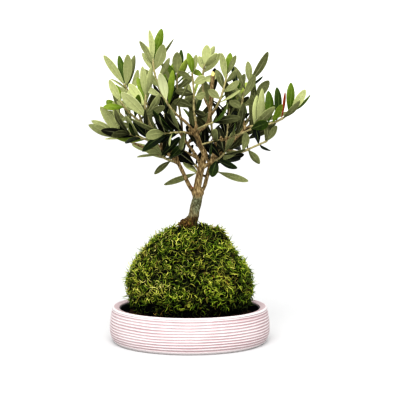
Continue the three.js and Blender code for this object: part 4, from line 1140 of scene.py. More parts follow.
def frond_skin(count, length, climb, flick, width, tints, seed, sink):
    """Fronds of moss, each a three-sided tapering strand rooted in the floor of the moss. It climbs
    out of the floor in the first part of its way, nearing its own height by an exponential, and
    its tip flicks out or in by the cube of the way gone. Meanwhile it runs along the ball, and its
    heading turns by a steady curl and a sine wave. Each pair gives a range to draw from. Noise
    keeps the fronds low in the hollows between clumps, and they are sparser and drier at the
    foot. Their tint is darkened as painted shade at the foot, under the dish's rim, and low on the
    right, away from the light. Each ring also carries its height over the floor, by which the
    material paints the shade deep among the fronds."""
    chance = np.random.default_rng(seed)
    shares, fine = moss_outline()
    weight = fine[:, 0] * np.gradient(shares) * np.interp(shares, FOOT_SPAN, (FOOT_THIN, 1))
    area = np.cumsum(weight)
    share = np.interp(chance.uniform(area[0], area[-1], count), area, shares)
    turn = chance.uniform(0, 2 * np.pi, count)
    root, out = moss_bed(turn, share, sink)
    round_it = np.stack([-np.sin(turn), np.cos(turn), np.zeros(count)], axis=-1)
    up_it = np.cross(out, round_it)

    def each(low, high):
        return chance.uniform(low, high, count)[:, None]

    gone = FROND_STATIONS[None]
    middle = (gone[:, 1:] + gone[:, :-1]) / 2
    curl = each(*CURLS) * chance.choice([-1, 1], count)[:, None]
    wave = each(*SWINGS) * np.sin(2 * np.pi * middle * each(*WAVES) + each(0, 6.3))
    heading = each(0, 2 * np.pi) + curl * middle + wave
    steps = np.diff(gone) * each(*length)
    ahead, aside = (
        np.cumsum(np.pad(steps * part, ((0, 0), (1, 0))), axis=1)
        for part in (np.cos(heading), np.sin(heading))
    )
    clump = np.clip(CLUMP_LEVEL + rough(root, CLUMPS), 0, 1)
    rise = each(*climb) * between(HOLLOW_CLIMB, 1, clump)[:, None]
    above = rise * (1 - np.exp(-CLIMB_RATE * gone)) + each(*flick) * gone**3
    path = (
        root[:, None]
        + ahead[..., None] * round_it[:, None]
        + aside[..., None] * up_it[:, None]
        + above[..., None] * out[:, None]
    )
    way = unit(np.gradient(path, axis=1))
    side = unit(np.cross(way, out[:, None] + 0.01))
    back = np.cross(way, side)
    rows = len(FROND_GIRTHS)
    girth = each(*width) / 2 * FROND_GIRTHS
    angle = (np.arange(3) * 2 * np.pi / 3)[:, None]
    round_way = np.cos(angle) * side[:, :rows, None] + np.sin(angle) * back[:, :rows, None]
    rings = path[:, :rows, None] + girth[..., None, None] * round_way
    # Painted shade: the tint darkens towards the foot, which the dish's rim shades, and low on the right,
    # away from the light.
    foot = np.interp(share, FOOT_SPAN, (FOOT_SHADE, 1))
    light = 1 - SIDE_SHADE * np.clip(0.3 + root[:, 0] / 90 - (root[:, 2] - 70) / 160, 0, 1)
    tint = np.clip(chance.beta(1.0, 1.4, count) + PATCH_SHARE * rough(root, PATCHES), 0, 1)
    dry = rough(root, DRY_PATCHES) - DRY_LEVEL + chance.uniform(-DRY_STRAY, DRY_STRAY, count)
    shoulder = np.exp(-((np.linalg.norm(root - BARE_PLACE, axis=1) / BARE_SIZE) ** 4))
    dry = dry + DRY_FOOT * (1 - foot) + DRY_SHOULDER * shoulder
    dry = dry + (chance.uniform(0, 1, count) < STRAW_SHARE)
    # reach, each ring's height over the floor, is what the material paints shade by.
    values = {
        "tint": (between(*tints, tint) * foot * light)[:, None],
        "dry": np.clip(dry, 0, 1)[:, None] * DRIEST,
        "reach": (above / sink)[:, :rows],
    }
    values = {
        name: np.broadcast_to(value[..., None], (count, rows, 3)) for name, value in values.items()
    }
    return lofted(rings, root - ROOT_SUNK * out, path[:, rows], values=values), turn


def quarter_of(skin, turn, number):
    """The strands of a quarter of the ball. Each strand's points and faces lie a fixed way apart."""
    wanted = np.floor(turn / (np.pi / 2)).astype(int) == number
    keep = np.concatenate([np.repeat(wanted, 3 * len(FROND_GIRTHS)), wanted, wanted])
    renumber = np.cumsum(keep) - 1
    quads = skin.quads[keep[skin.quads[:, 0]]]
    triangles = skin.triangles[keep[skin.triangles[:, 1]]]
    values = {name: value[keep] for name, value in skin.values.items()}
    return Skin(skin.points[keep], renumber[quads], renumber[triangles], values)


# Wood and leaves


class Curve:
    """A smooth curve through points: between two of them it is the cubic whose slope at each is half
    the step from its neighbour before to its neighbour after."""

    def __init__(self, knots):
        first, last = 2 * knots[0] - knots[1], 2 * knots[-1] - knots[-2]
        self.knots = np.concatenate([[first], knots, [last]])
        self.spans = len(knots) - 1

    def at(self, share):
        place = np.asarray(share, float) * self.spans
        span = np.minimum(np.floor(place).astype(int), self.spans - 1)
        t = (place - span)[..., None]
        before, start, end, after = (self.knots[span + i] for i in range(4))
        leaving, arriving = 0.5 * (end - before), 0.5 * (after - start)
        square = -3 * start + 3 * end - 2 * leaving - arriving
        cube = 2 * start - 2 * end + leaving + arriving
        return start + leaving * t + square * t**2 + cube * t**3

    def heading(self, share):
        share = np.asarray(share, float)
        ahead = self.at(np.minimum(share + 0.0001, 1))
        return unit(ahead - self.at(np.maximum(share - 0.0001, 0)))

    def length(self):
        return np.linalg.norm(np.diff(self.at(np.linspace(0, 1, 201)), axis=0), axis=1).sum()


def real(places):
    """Places as they look from the front, at the plane of the trunk, turned into real ones: each is
    drawn in towards the line of sight by its depth."""
    across, height, depth = np.moveaxis(np.asarray(places, float), -1, 0)
    nearer = (VIEW_DISTANCE + depth) / VIEW_DISTANCE
    x = VIEW_ACROSS + (across - VIEW_ACROSS) * nearer
    return np.stack([x, depth, VIEW_HEIGHT + (height - VIEW_HEIGHT) * nearer], axis=-1)


def seen(place):
    """Real places as they look from the front, at the plane of the trunk."""
    nearer = (VIEW_DISTANCE + place[..., 1]) / VIEW_DISTANCE
    across = VIEW_ACROSS + (place[..., 0] - VIEW_ACROSS) / nearer
    height = VIEW_HEIGHT + (place[..., 2] - VIEW_HEIGHT) / nearer
    return np.stack([across, height], axis=-1)


def in_crown(place):
    """True inside the crown's outline as it looks from the front, by the even-odd rule."""
    across, height = seen(place)
    x, z = np.array(CROWN_EDGE, float).T
    next_x, next_z = np.roll(x, -1), np.roll(z, -1)
    spans = (z > height) != (next_z > height)
    slope = (next_x - x)[spans] * (height - z[spans]) / (next_z - z)[spans]
    return np.sum(across < x[spans] + slope) % 2 == 1


def turned_about(vector, axis, angle):
    """A vector turned about a unit axis: its part along the axis stays, and the rest turns."""
    lengthwise = axis * (vector @ axis)
    cross = np.cross(axis, vector)
    return lengthwise + (vector - lengthwise) * math.cos(angle) + cross * math.sin(angle)


def random_stream(seed):
    """The same stream of numbers that the solids draw their leaves from, a small 32-bit one."""
    state = seed
    while True:
        state = (state + 0x6D2B79F5) & WORD
        mixed = ((state ^ (state >> 15)) * (1 | state)) & WORD
        mixed = ((mixed + (((mixed ^ (mixed >> 7)) * (61 | mixed)) & WORD)) ^ mixed) & WORD
        yield ((mixed ^ (mixed >> 14)) & WORD) / (WORD + 1)


class Shoot:
    """A twig by its number among all shoots: its name, the share of it that is one with the trunk,
    its curve, and its leaves, listed or as a number of pairs."""

    def __init__(self, number, name, cut, places, leaves):
        self.name, self.leaves = name, leaves
        self.curve = Curve(real(places))
        self.cut_share = cut / (len(places) - 1)
        self.seed = FIRST_SEED + number * SEED_STEP


class Leaf:
    """A blade from its base to its tip, with the way its upper face looks, its width and its bow,
    and sample points over it that are tested against the other blades and the wood. A listed leaf
    has a tone for its age and its painted light and shade, and its underside may show where turned is
    set."""

    age, turned, russet = None, False, 0.0

    def __init__(self, base, tip, facing, width, bow, shoot, twig_share):
        self.base, self.width, self.bow = base, width, bow
        self.shoot, self.twig_share = shoot, twig_share
        self.length = np.linalg.norm(tip - base)
        self.along = (tip - base) / self.length
        self.face = unit(facing - self.along * (facing @ self.along))
        self.side = np.cross(self.along, self.face)
        self.centre = base + self.along * self.length / 2
        self.shares = np.repeat(np.arange(1, SAMPLE_ROWS + 1) / SAMPLE_ROWS, len(SAMPLE_PARTS))
        sideways = np.tile(SAMPLE_PARTS, SAMPLE_ROWS) * self.half_width(self.shares)
        self.points = (
            base
            + self.shares[:, None] * self.length * self.along
            + sideways[:, None] * self.side
            + self.lift(self.shares)[:, None] * self.face
        )

    def half_width(self, share):
        rising = between(PETIOLE_WIDTH, self.width, share / FIRST_STATION) / 2
        falling = self.width / 2 * np.clip((1 - share) / (1 - SECOND_STATION), 0, None)
        flat = np.where(share < SECOND_STATION, self.width / 2, falling)
        return np.where(share < FIRST_STATION, rising, flat)

    def lift(self, share):
        return self.bow * self.length * 4 * share * (1 - share)

    def holds(self, places, root_share):
        """True for each place that lies in the room kept round the blade."""
        away = places - self.base
        share = away @ self.along / self.length
        within = np.minimum(share, 1)
        beside = np.abs(away @ self.side) <= self.half_width(within) + CLEAR_BESIDE
        above = np.abs(away @ self.face - self.lift(within)) < CLEAR_ABOVE
        return (share >= root_share) & (share <= CLEAR_TIP) & beside & above

    def meets(self, other):
        if np.linalg.norm(self.centre - other.centre) > (self.length + other.length) / 2 + NEARBY:
            return False
        root_share = SHARED_ROOT if self.shoot == other.shoot else 0
        return any(
            a.holds(b.points[b.shares >= root_share], root_share).any()
            for a, b in ((self, other), (other, self))
        )

    def meets_wood(self, wood):
        own = (wood["owner"] == self.shoot) & (wood["share"] > self.twig_share - OWN_TWIG)
        far = np.linalg.norm(wood["place"] - self.centre, axis=1) > self.length / 2 + NEARBY
        near = ~own & ~far
        gaps = np.linalg.norm(self.points[:, None] - wood["place"][near], axis=-1)
        return (gaps < wood["radius"][near] + CLEAR_WOOD).any()

    def hides_limb(self, wood):
        near = np.linalg.norm(wood["place"] - self.centre, axis=1) <= VIEW_REACH
        limb = near & wood["shown"]
        gaps = np.linalg.norm(seen(self.points)[:, None] - seen(wood["place"][limb]), axis=-1)
        before = self.points[:, None, 1] < wood["place"][limb][:, 1]
        return (before & (gaps < wood["radius"][limb] + CLEAR_SIGHT)).any()

    def fits(self, placed, wood):
        return not any(self.meets(other) for other in placed) and not self.meets_wood(wood)


def wood_points(shoots):
    """Points about 3 mm apart along every limb and twig, with their radius and owner."""
    lines = [(Curve(real(places)), radii, "trunk", shown) for radii, _, shown, places in LIMBS]
    lines += [(shoot.curve, TWIG_RADII, shoot.name, False) for shoot in shoots]
    parts = []
    for curve, radii, owner, shown in lines:
        count = math.ceil(curve.length() / WOOD_SAMPLE)
        share = np.arange(count + 1) / count
        parts.append(
            {
                "place": curve.at(share),
                "radius": between(*radii, share),
                "owner": np.full(count + 1, owner),
                "share": share,
                "shown": np.full(count + 1, shown),
            }
        )
    return {name: np.concatenate([part[name] for part in parts]) for name in parts[0]}


def front_leaves(shoot, placed, wood):
    """The listed leaves of a shoot. A leaf is tried at its own lean first, and then a little nearer
    or further."""
    chance = random_stream(shoot.seed)
    for number, (share, across, height, width, turn, lean, age) in enumerate(shoot.leaves):
        base = shoot.curve.at(share)
        bow = between(*LEAF_BOWS, next(chance))
        for step in LEAN_STEPS:
            tip = real([across, height, base[1] + lean + step])
            towards = unit(tip - base)
            front = unit(np.array([0.0, -1.0, 0.0]) + towards * towards[1])
            facing = turned_about(front, towards, math.radians(turn))
            leaf = Leaf(base, tip, facing, width, bow, shoot.name, share)
            if leaf.fits(placed, wood):
                leaf.age = age
                leaf.turned = number in TURNED_LEAVES.get(shoot.name, ())
                leaf.russet = float((shoot.name, number) == RUSSET_LEAF)
                placed.append(leaf)
                break


def rule_leaves(shoot, placed, wood):
    """Pairs up the twig, each turned a quarter from the last. A leaf leans from the twig towards its
    side and a little upwards, and its upper face looks along the twig. A leaf that finds no room in
    a few draws is left out."""
    chance = random_stream(shoot.seed)
    for pair in range(shoot.leaves + 1):
        share = between(FIRST_PAIR, 1, pair / shoot.leaves) - SMALL_SHARE
        base = shoot.curve.at(share)
        along = shoot.curve.heading(share)
        across = unit(np.cross([0.0, 1.0, 0.0], along))
        beside = np.cross(along, across)
        for half in (0, 1):
            for _ in range(RULE_TRIES):
                stray = between(-PAIR_STRAY, PAIR_STRAY, next(chance))
                turn = (pair + 0.5) * math.pi / 2 + half * math.pi + stray
                angle = math.radians(between(*LEAF_ANGLES, next(chance)))
                length = between(*LEAF_LENGTHS, next(chance))
                width = between(*LEAF_WIDTHS, next(chance))
                bow = between(*LEAF_BOWS, next(chance))
                lean = angle * TIP_CLOSING if pair == shoot.leaves else angle
                out = math.cos(turn) * across + math.sin(turn) * beside
                way = unit(math.cos(lean) * along + math.sin(lean) * out + LEAF_RISE * UP)
                tip = base + way * length
                if not in_crown(tip):
                    continue
                leaf = Leaf(base, tip, along, width, bow, shoot.name, share)
                if leaf.fits(placed, wood) and not leaf.hides_limb(wood):
                    placed.append(leaf)
                    break


def grow_leaves():
    """Every shoot, and every blade that found room, the listed ones first."""
    rows = [*FRONT_SHOOTS, *[(name, RULE_CUT, places, pairs) for name, pairs, places in RULE_SHOOTS]]
    shoots = [Shoot(number, *row) for number, row in enumerate(rows)]
    wood = wood_points(shoots)
    placed = []
    for number, shoot in enumerate(shoots):
        grow = front_leaves if number < len(FRONT_SHOOTS) else rule_leaves
        grow(shoot, placed, wood)
    return shoots, placed


def wood_rings(curve, radii, first, last, spacing, sides, relief, slant=0.0, knots=()):
    """Rings of wood along a curve, tapering evenly. Noise that is drawn out along the wood raises
    and lowers each point by relief times the radius, knots swell it where leaves sit, and a slant
    tips the last ring, as a pruning cut does."""
    steps = max(3, round(curve.length() * (last - first) / spacing))
    share = np.linspace(first, last, steps + 1)
    centre, along = curve.at(share), curve.heading(share)
    reference = np.eye(3)[np.argmin(np.abs(along.mean(axis=0)))]
    across = unit(reference - along * (along @ reference)[:, None])
    beside = np.cross(along, across)
    angle = np.linspace(0, 2 * np.pi, sides, endpoint=False)
    radius = between(*radii, share)[:, None]
    out = np.cos(angle)[:, None] * across[:, None] + np.sin(angle)[:, None] * beside[:, None]
    grain = centre[:, None] + out * radius[..., None]
    grain = grain - along[:, None] * (np.sum(grain * along[:, None], axis=-1) * GRAIN_DRAWN)[..., None]
    swell = 1 + relief * lattice_noise(grain, 2.4, 41) + relief * lattice_noise(grain, 6, 42)
    for knot, size in knots:
        apart = (share - knot)[:, None] * curve.length()
        swell = swell + size * np.exp(-((apart / KNOT_REACH) ** 2))
    rings = centre[:, None] + out * (radius * swell)[..., None]
    tip = np.cos(angle) * radius[-1] * slant
    rings[-1] += tip[:, None] * along[-1]
    return rings


def wood_skin(rings):
    return lofted(rings[None], rings[:1].mean(axis=1), rings[-1:].mean(axis=1))


def trunk_skins(shoots):
    """Closed skins of the trunk, its limbs, the foot of each twig, the swelling at the fork, the
    flare over the soil and the root stub below it. They overlap, and are fused afterwards."""
    skins = []
    for number, (radii, slant, _, places) in enumerate(LIMBS):
        relief = LIMB_ROUGH if number else TRUNK_ROUGH
        rings = wood_rings(Curve(real(places)), radii, 0, 1, RING_STEP, 22, relief, slant)
        skins.append(wood_skin(rings))
    for shoot in shoots:
        end = shoot.cut_share
        rings = wood_rings(shoot.curve, TWIG_RADII, 0, end, RING_STEP, 12, TWIG_FOOT_ROUGH)
        skins.append(wood_skin(rings))
    climb = np.radians(np.linspace(-90, 90, 13))
    fork = revolved(np.stack([np.cos(climb), np.sin(climb)], axis=-1), 24)
    fork.points = fork.points * FORK_SIZE + FORK_PLACE
    foot = SOIL_TOP + GAP
    climb = np.linspace(0, 1, 14)[:, None]
    height = climb * FLARE_HEIGHTS[-1]
    angle = np.linspace(0, 2 * np.pi, 48, endpoint=False)
    buttress = 1 + BUTTRESS * np.cos(3 * angle + 0.6) * (1 - climb) ** 0.7
    flare = about_axis(np.interp(height, FLARE_HEIGHTS, FLARE_RADII) * buttress, angle, foot + height)
    flare[..., 0] += between(*FLARE_SHIFTS, climb)
    stub = [[0, foot - ROOT_DEPTH], [ROOT_RADIUS - 1, foot - ROOT_DEPTH]]
    stub += [[ROOT_RADIUS, foot + 3], [0, foot + 3]]
    return [*skins, fork, wood_skin(flare), revolved(np.array(stub), 32)]


def fused(skins, voxel):
    """The skins as one closed surface, and the way out of it at each point: Blender's voxel remesh
    joins what overlaps, and its points and faces are read back as a skin in millimetres."""
    loose = joined(skins)
    mesh = bpy.data.meshes.new("loose wood")
    mesh.from_pydata(loose.points * MM, [], [*loose.quads.tolist(), *loose.triangles.tolist()])
    shape = bpy.data.objects.new("loose wood", mesh)
    bpy.context.scene.collection.objects.link(shape)
    remesh = shape.modifiers.new("fuse", "REMESH")
    remesh.mode = "VOXEL"
    remesh.voxel_size = voxel * MM
    smooth = shape.modifiers.new("soften", "SMOOTH")
    smooth.iterations = 2
    smooth.factor = 0.5
    whole = shape.evaluated_get(bpy.context.evaluated_depsgraph_get()).to_mesh()

    def read(rows, name, width, kind):
        flat = np.empty(len(rows) * width, kind)
        rows.foreach_get(name, flat)
        return flat

    points = read(whole.vertices, "co", 3, np.float32).reshape(-1, 3) / MM
    normals = read(whole.vertices, "normal", 3, np.float32).reshape(-1, 3)
    corners = read(whole.loops, "vertex_index", 1, np.int32)
    sizes = read(whole.polygons, "loop_total", 1, np.int32)
    starts = np.cumsum(sizes) - sizes
    quads, triangles = (corners[starts[sizes == n][:, None] + np.arange(n)] for n in (4, 3))
    shape.to_mesh_clear()
    bpy.data.objects.remove(shape)
    bpy.data.meshes.remove(mesh)
    return Skin(points, quads, triangles), normals


def bark_relief(skin, normals):
    """Fissures and blisters pushed along the way out: noise drawn out upwards, stronger on the
    trunk. It also marks the lichened trunk below the collar, the line of earth, the cut face and a
    scar."""
    place = skin.points
    trunk = np.clip((TRUNK_END - place[:, 2]) / TRUNK_FADE, 0, 1)
    shift = lattice_noise(place * FISSURE_STRETCH, 1.5, 51) + rough(place, BLISTERS)
    limb = Curve(real(LIMBS[PRUNED_LIMB][-1]))
    near_cut = np.linalg.norm(place - limb.at(1.0), axis=1) < CUT_REACH
    cut = (normals @ limb.heading(1.0) > CUT_FACING) & near_cut
    depth = between(*FISSURES, trunk) * np.where(cut, 0, shift)
    skin.points = place + normals * depth[:, None]
    ragged = rough(place, RAGGED)
    collar = np.clip((COLLAR_HEIGHT + 1.5 - place[:, 2] + ragged) / 3, 0, 1)
    skin.values = {
        "cut": cut.astype(float),
        "lichen": collar * np.clip(LICHEN_LEVEL + rough(place, LICHEN_PATCHES), 0, 1),
        "scar": np.exp(-((np.linalg.norm(place - SCAR_PLACE, axis=1) / SCAR_SIZE) ** 4)),
        "earth": np.clip((EARTH_LINE - place[:, 2] + ragged) / 4, 0, 1),
    }
    return skin


def blade_outline(share):
    """Half the width of a blade as a share of its greatest: a quarter sine, to a power that draws the
    base in to a wedge, up to the widest share, and a quarter cosine, to a root that rounds the
    tip, from there."""
    rising = np.sin(np.pi / 2 * np.clip(share / WIDEST_SHARE, 0, 1)) ** BASE_POWER
    past = np.clip((share - WIDEST_SHARE) / (1 - WIDEST_SHARE), 0, 1)
    return np.where(share < WIDEST_SHARE, rising, np.cos(np.pi / 2 * past) ** TIP_POWER)


def blade_skin(leaves, thickness, chance):
    """Blades as thin closed tubes. Each ring runs across the upper face and back under it. The blade
    is arched across its width, sunk along the midrib above and raised along it below, and it
    twists, sways and waves a little along its length. Its start is a round stalk."""
    count = len(leaves)
    share = np.array(BLADE_ROWS)[None, :, None]
    across = np.array(UPPER_ACROSS + UNDER_ACROSS)[None, None]
    above = np.array([1.0] * len(UPPER_ACROSS) + [-1.0] * len(UNDER_ACROSS))
    above[[0, len(UPPER_ACROSS) - 1]] = 0

    def each(name):
        return np.array([getattr(leaf, name) for leaf in leaves])[:, None, None]

    def drawn(low, high):
        return chance.uniform(low, high, (count, 1, 1))

    width, length, along = each("width"), each("length"), each("along")
    half = np.maximum(
        width / 2 * FULLNESS * blade_outline(share), PETIOLE_WIDTH / 2 * (1 - share)
    )
    stalk = np.clip(1 - share / STALK_SHARE, 0, 1)
    arch = ARCH * half * (1 - across**2) * (1 - stalk)
    rib = np.exp(-((across / RIB_HALF) ** 2)) * (1 - stalk)
    flat = thickness / 2 * (1 - RIM_THINNING * across**2)
    round_stalk = half * np.sqrt(np.clip(1 - across**2, 0, 1)) * 0.9
    body = between(flat, round_stalk, stalk) * above
    up = arch + body - rib * np.where(above > 0, RIB_SUNK, RIB_RAISED) * (1 - 0.7 * share)
    sway = drawn(-SWAY, SWAY) * np.sin(np.pi * share)
    twist = drawn(-TWIST, TWIST) * (share - 0.2)
    wave = drawn(0, WAVE) * across * np.sin(5 * share + drawn(0, 6.3))
    sideways = across * half
    up = up + wave * half / 5
    turned_side = sideways * np.cos(twist) - up * np.sin(twist) + sway
    turned_up = sideways * np.sin(twist) + up * np.cos(twist)
    lift = each("bow") * length * 4 * share * (1 - share)
    rings = (
        each("base")
        + (share * length)[..., None] * along
        + turned_side[..., None] * each("side")
        + (turned_up + lift)[..., None] * each("face")
    )
    tips = (each("base") + length[..., None] * along)[:, 0, 0]
    values = {"tone": each("tone"), "russet": each("russet"), "along": share, "across": across}
    values = {
        name: np.broadcast_to(value, rings.shape[:3]) for name, value in values.items()
    }
    skin = lofted(rings, rings[:, 0].mean(axis=1), tips, values=values)
    skin.values["along"][-count:] = 1
    upper = np.arange(rings.shape[2]) < len(UPPER_ACROSS) - 1
    quads = np.tile(upper, (count, len(BLADE_ROWS) - 1))
    fans = np.tile(upper, (count, 1))
    turned = each("turned")[:, 0]
    skin.slots = np.concatenate([(part == turned).astype(int).ravel() for part in (quads, fans, fans)])
    return skin


def tone_of(leaf, chance):
    """How light a leaf is, from 0 to 1, which holds painted light and shade as well as its age. The
    front shoots' leaves are listed. For the others, ones near the top and the outside of the crown
    are light and ones low and inside are dark, partly as young and old leaves and partly as painted
    light and shade, those in the shade low in the crown are darker still as painted shade, and a
    random share is added."""
    if leaf.age is not None:
        return float(np.clip(leaf.age + chance.normal(0, LISTED_CHANCE), 0, 1))
    middle = leaf.base + leaf.along * leaf.length * 0.6
    height = np.clip((middle[2] - CROWN_LOW) / (CROWN_HIGH - CROWN_LOW), 0, 1)
    away = np.linalg.norm((middle - CROWN_MIDDLE) * CROWN_STRETCH) / CROWN_REACH
    outer = np.clip(away, 0, 1) ** OUTER_POWER
    shade = TONE_SHADE * np.interp(middle[2], CROWN_SHADE, (1, 0))
    tone = TONE_START + TONE_HEIGHT * height + TONE_OUTER * outer - shade
    return float(np.clip(tone + chance.normal(0, TONE_CHANCE), 0, TONE_MOST))


def shoot_skin(shoot, leaves, thickness, chance):
    """A shoot's twig, swollen where leaves sit and closed by a bud, with its blades."""
    start = shoot.cut_share - 0.4 * GAP / shoot.curve.length()
    knots = [(leaf.twig_share, LEAF_KNOT) for leaf in leaves] + [(start, FOOT_KNOT)]
    rings = wood_rings(shoot.curve, TWIG_RADII, start, 1, 1.6, 9, TWIG_ROUGH, knots=knots)
    bud = rings[-1:].mean(axis=1) + shoot.curve.heading(1.0) * BUD_LENGTH
    twig = lofted(rings[None], rings[:1].mean(axis=1), bud)
    twig.slots[:] = 2
    return joined([blade_skin(leaves, thickness, chance), twig])


# Settings that a user would change


class KokedamaDish(bpy.types.PropertyGroup):
    rib_depth: FloatProperty(
        name="Rib depth",
        description="How deep the grooves between the ribs are",
        default=RIB_DEPTH * MM,
        unit="LENGTH",
        precision=4,
    )
    slip: FloatVectorProperty(
        name="Slip", description="White slip", default=linear("#e0d9d9")[:3], subtype="COLOR"
    )
    body: FloatVectorProperty(
        name="Body", description="Pink clay body", default=linear("#b99ea1")[:3], subtype="COLOR"
    )


class KokedamaSoil(bpy.types.PropertyGroup):
    crumbs: IntProperty(
        name="Crumbs", description="Loose crumbs of soil round the foot", default=1000, min=0
    )
    heap: IntProperty(
        name="Heap", description="Crumbs of earth round the trunk's foot", default=420, min=0
    )


class KokedamaMoss(bpy.types.PropertyGroup):
    sink: FloatProperty(
        name="Depth",
        description="Depth of the moss over its floor",
        default=5.6 * MM,
        unit="LENGTH",
        precision=4,
    )
    undergrowth: IntProperty(
        name="Undergrowth", description="Number of short shaded fronds", default=5500, min=0
    )
    middle: IntProperty(
        name="Middle fronds", description="Number of fronds of middle length", default=5500, min=0
    )
    fronds: IntProperty(name="Fronds", description="Number of bright fronds", default=5200, min=1000)
    wisps: IntProperty(name="Wisps", description="Long fronds that stand out", default=1000, min=0)
    straw: FloatVectorProperty(
        name="Dry moss", description="Dry moss", default=linear("#9c8442")[:3], subtype="COLOR"
    )


class KokedamaWood(bpy.types.PropertyGroup):
    voxel: FloatProperty(
        name="Detail",
        description="Size of the detail that is kept where limbs join",
        default=0.72 * MM,
        unit="LENGTH",
        precision=4,
    )


class KokedamaLeaves(bpy.types.PropertyGroup):
    thickness: FloatProperty(
        name="Blade thickness",
        description="Thickness of a blade at its middle",
        default=0.55 * MM,
        unit="LENGTH",
        precision=5,
    )


class KokedamaStage(bpy.types.PropertyGroup):
    floor: FloatVectorProperty(
        name="Floor", description="Floor", default=linear("#c4c4c4")[:3], subtype="COLOR"
    )
    floor_glow: FloatProperty(
        name="Floor glow", description="White added to the floor where it is seen", default=0.12
    )
    key: FloatProperty(name="Key light", description="Strength of the soft sun", default=2.5)
    fill: FloatProperty(name="Fill light", description="Strength of the room's light", default=0.62)


# Operators


class KOKEDAMA_OT_dish(bpy.types.Operator):
    """Make the ribbed stoneware dish"""

    bl_idname = "kokedama.dish"
    bl_label = "Dish"

    def execute(self, context):
        skin = dish_skin(context.scene.kokedama_dish.rib_depth / MM)
        add_piece("ribbed_dish", skin, [slip_over_stoneware()], ["dish"])
        return {"FINISHED"}


class KOKEDAMA_OT_tray(bpy.types.Operator):
    """Make the thin black tray inside the dish"""

    bl_idname = "kokedama.tray"
    bl_label = "Tray"

    def execute(self, context):
        add_piece("black_tray", tray_skin(), [pressed_polypropylene()], ["liner"])
        return {"FINISHED"}


class KOKEDAMA_OT_soil(bpy.types.Operator):
    """Make the ball of soil and the loose crumbs round its foot"""

    bl_idname = "kokedama.soil"
    bl_label = "Soil"

    def execute(self, context):
        earth = peaty_soil()
        add_piece("soil_ball", soil_skin(), [earth], ["soil"])
        crumbs = crumb_skin(context.scene.kokedama_soil.crumbs, 61)
        add_piece("soil_crumbs", crumbs, [earth], [], smooth=False)
        heap = root_crumbs(context.scene.kokedama_soil.heap, 62)
        add_piece("root_crumbs", heap, [rooty_earth()], [], smooth=False)
        return {"FINISHED"}


class KOKEDAMA_OT_moss(bpy.types.Operator):
    """Grow the moss: its shaded floor, and the fronds on it in four quarters"""

    bl_idname = "kokedama.moss"
    bl_label = "Moss"

    def execute(self, context):
        look = context.scene.kokedama_moss
        sink = look.sink / MM
        add_piece("moss_floor", moss_bed_skin(sink), [moss_floor()], ["moss"])
        layers = [
            # The undergrowth's dark tints are painted shade, for the fronds that lie under the others.
            frond_skin(look.undergrowth, (5, 9), (0.4, 2), (-1, 1), (0.8, 1.2), (0, 0.15), 70, sink),
            frond_skin(look.middle, (6, 10), (2, 4.2), (-2, 2), (0.8, 1.3), (0.05, 0.65), 71, sink),
            frond_skin(look.fronds, (6, 11), (3.8, 6.2), (-2, 3), (0.9, 1.5), (0.3, 1), 72, sink),
            frond_skin(look.wisps, (7, 12), (4, 6), (3, 9), (0.7, 1.2), (0.35, 1), 73, sink),
        ]
        green = living_moss()
        for number, name in enumerate(("right_back", "left_back", "left_front", "right_front")):
            quarter = joined([quarter_of(*layer, number) for layer in layers])
            add_piece("moss_fronds_" + name, quarter, [green], ["moss"])
        return {"FINISHED"}


class KOKEDAMA_OT_tree(bpy.types.Operator):
    """Grow the trunk with its limbs, and every leafy shoot"""

    bl_idname = "kokedama.tree"
    bl_label = "Tree"

    def execute(self, context):
        shoots, placed = grow_leaves()
        wood, normals = fused(trunk_skins(shoots), context.scene.kokedama_wood.voxel / MM)
        add_piece("olive_trunk", bark_relief(wood, normals), [olive_bark()], ["trunk"])
        chance = np.random.default_rng(81)
        for leaf in placed:
            leaf.tone = tone_of(leaf, chance)
            if leaf.shoot.startswith("front"):
                leaf.turned = chance.uniform() < TURNED_SHARE
        materials = [waxy_leaf_face(), scaled_leaf_face(), twig_bark()]
        thickness = context.scene.kokedama_leaves.thickness / MM
        for shoot in shoots:
            own = [leaf for leaf in placed if leaf.shoot == shoot.name]
            skin = shoot_skin(shoot, own, thickness, chance)
            add_piece("spray_" + shoot.name, skin, materials, ["shoot_" + shoot.name])
        return {"FINISHED"}


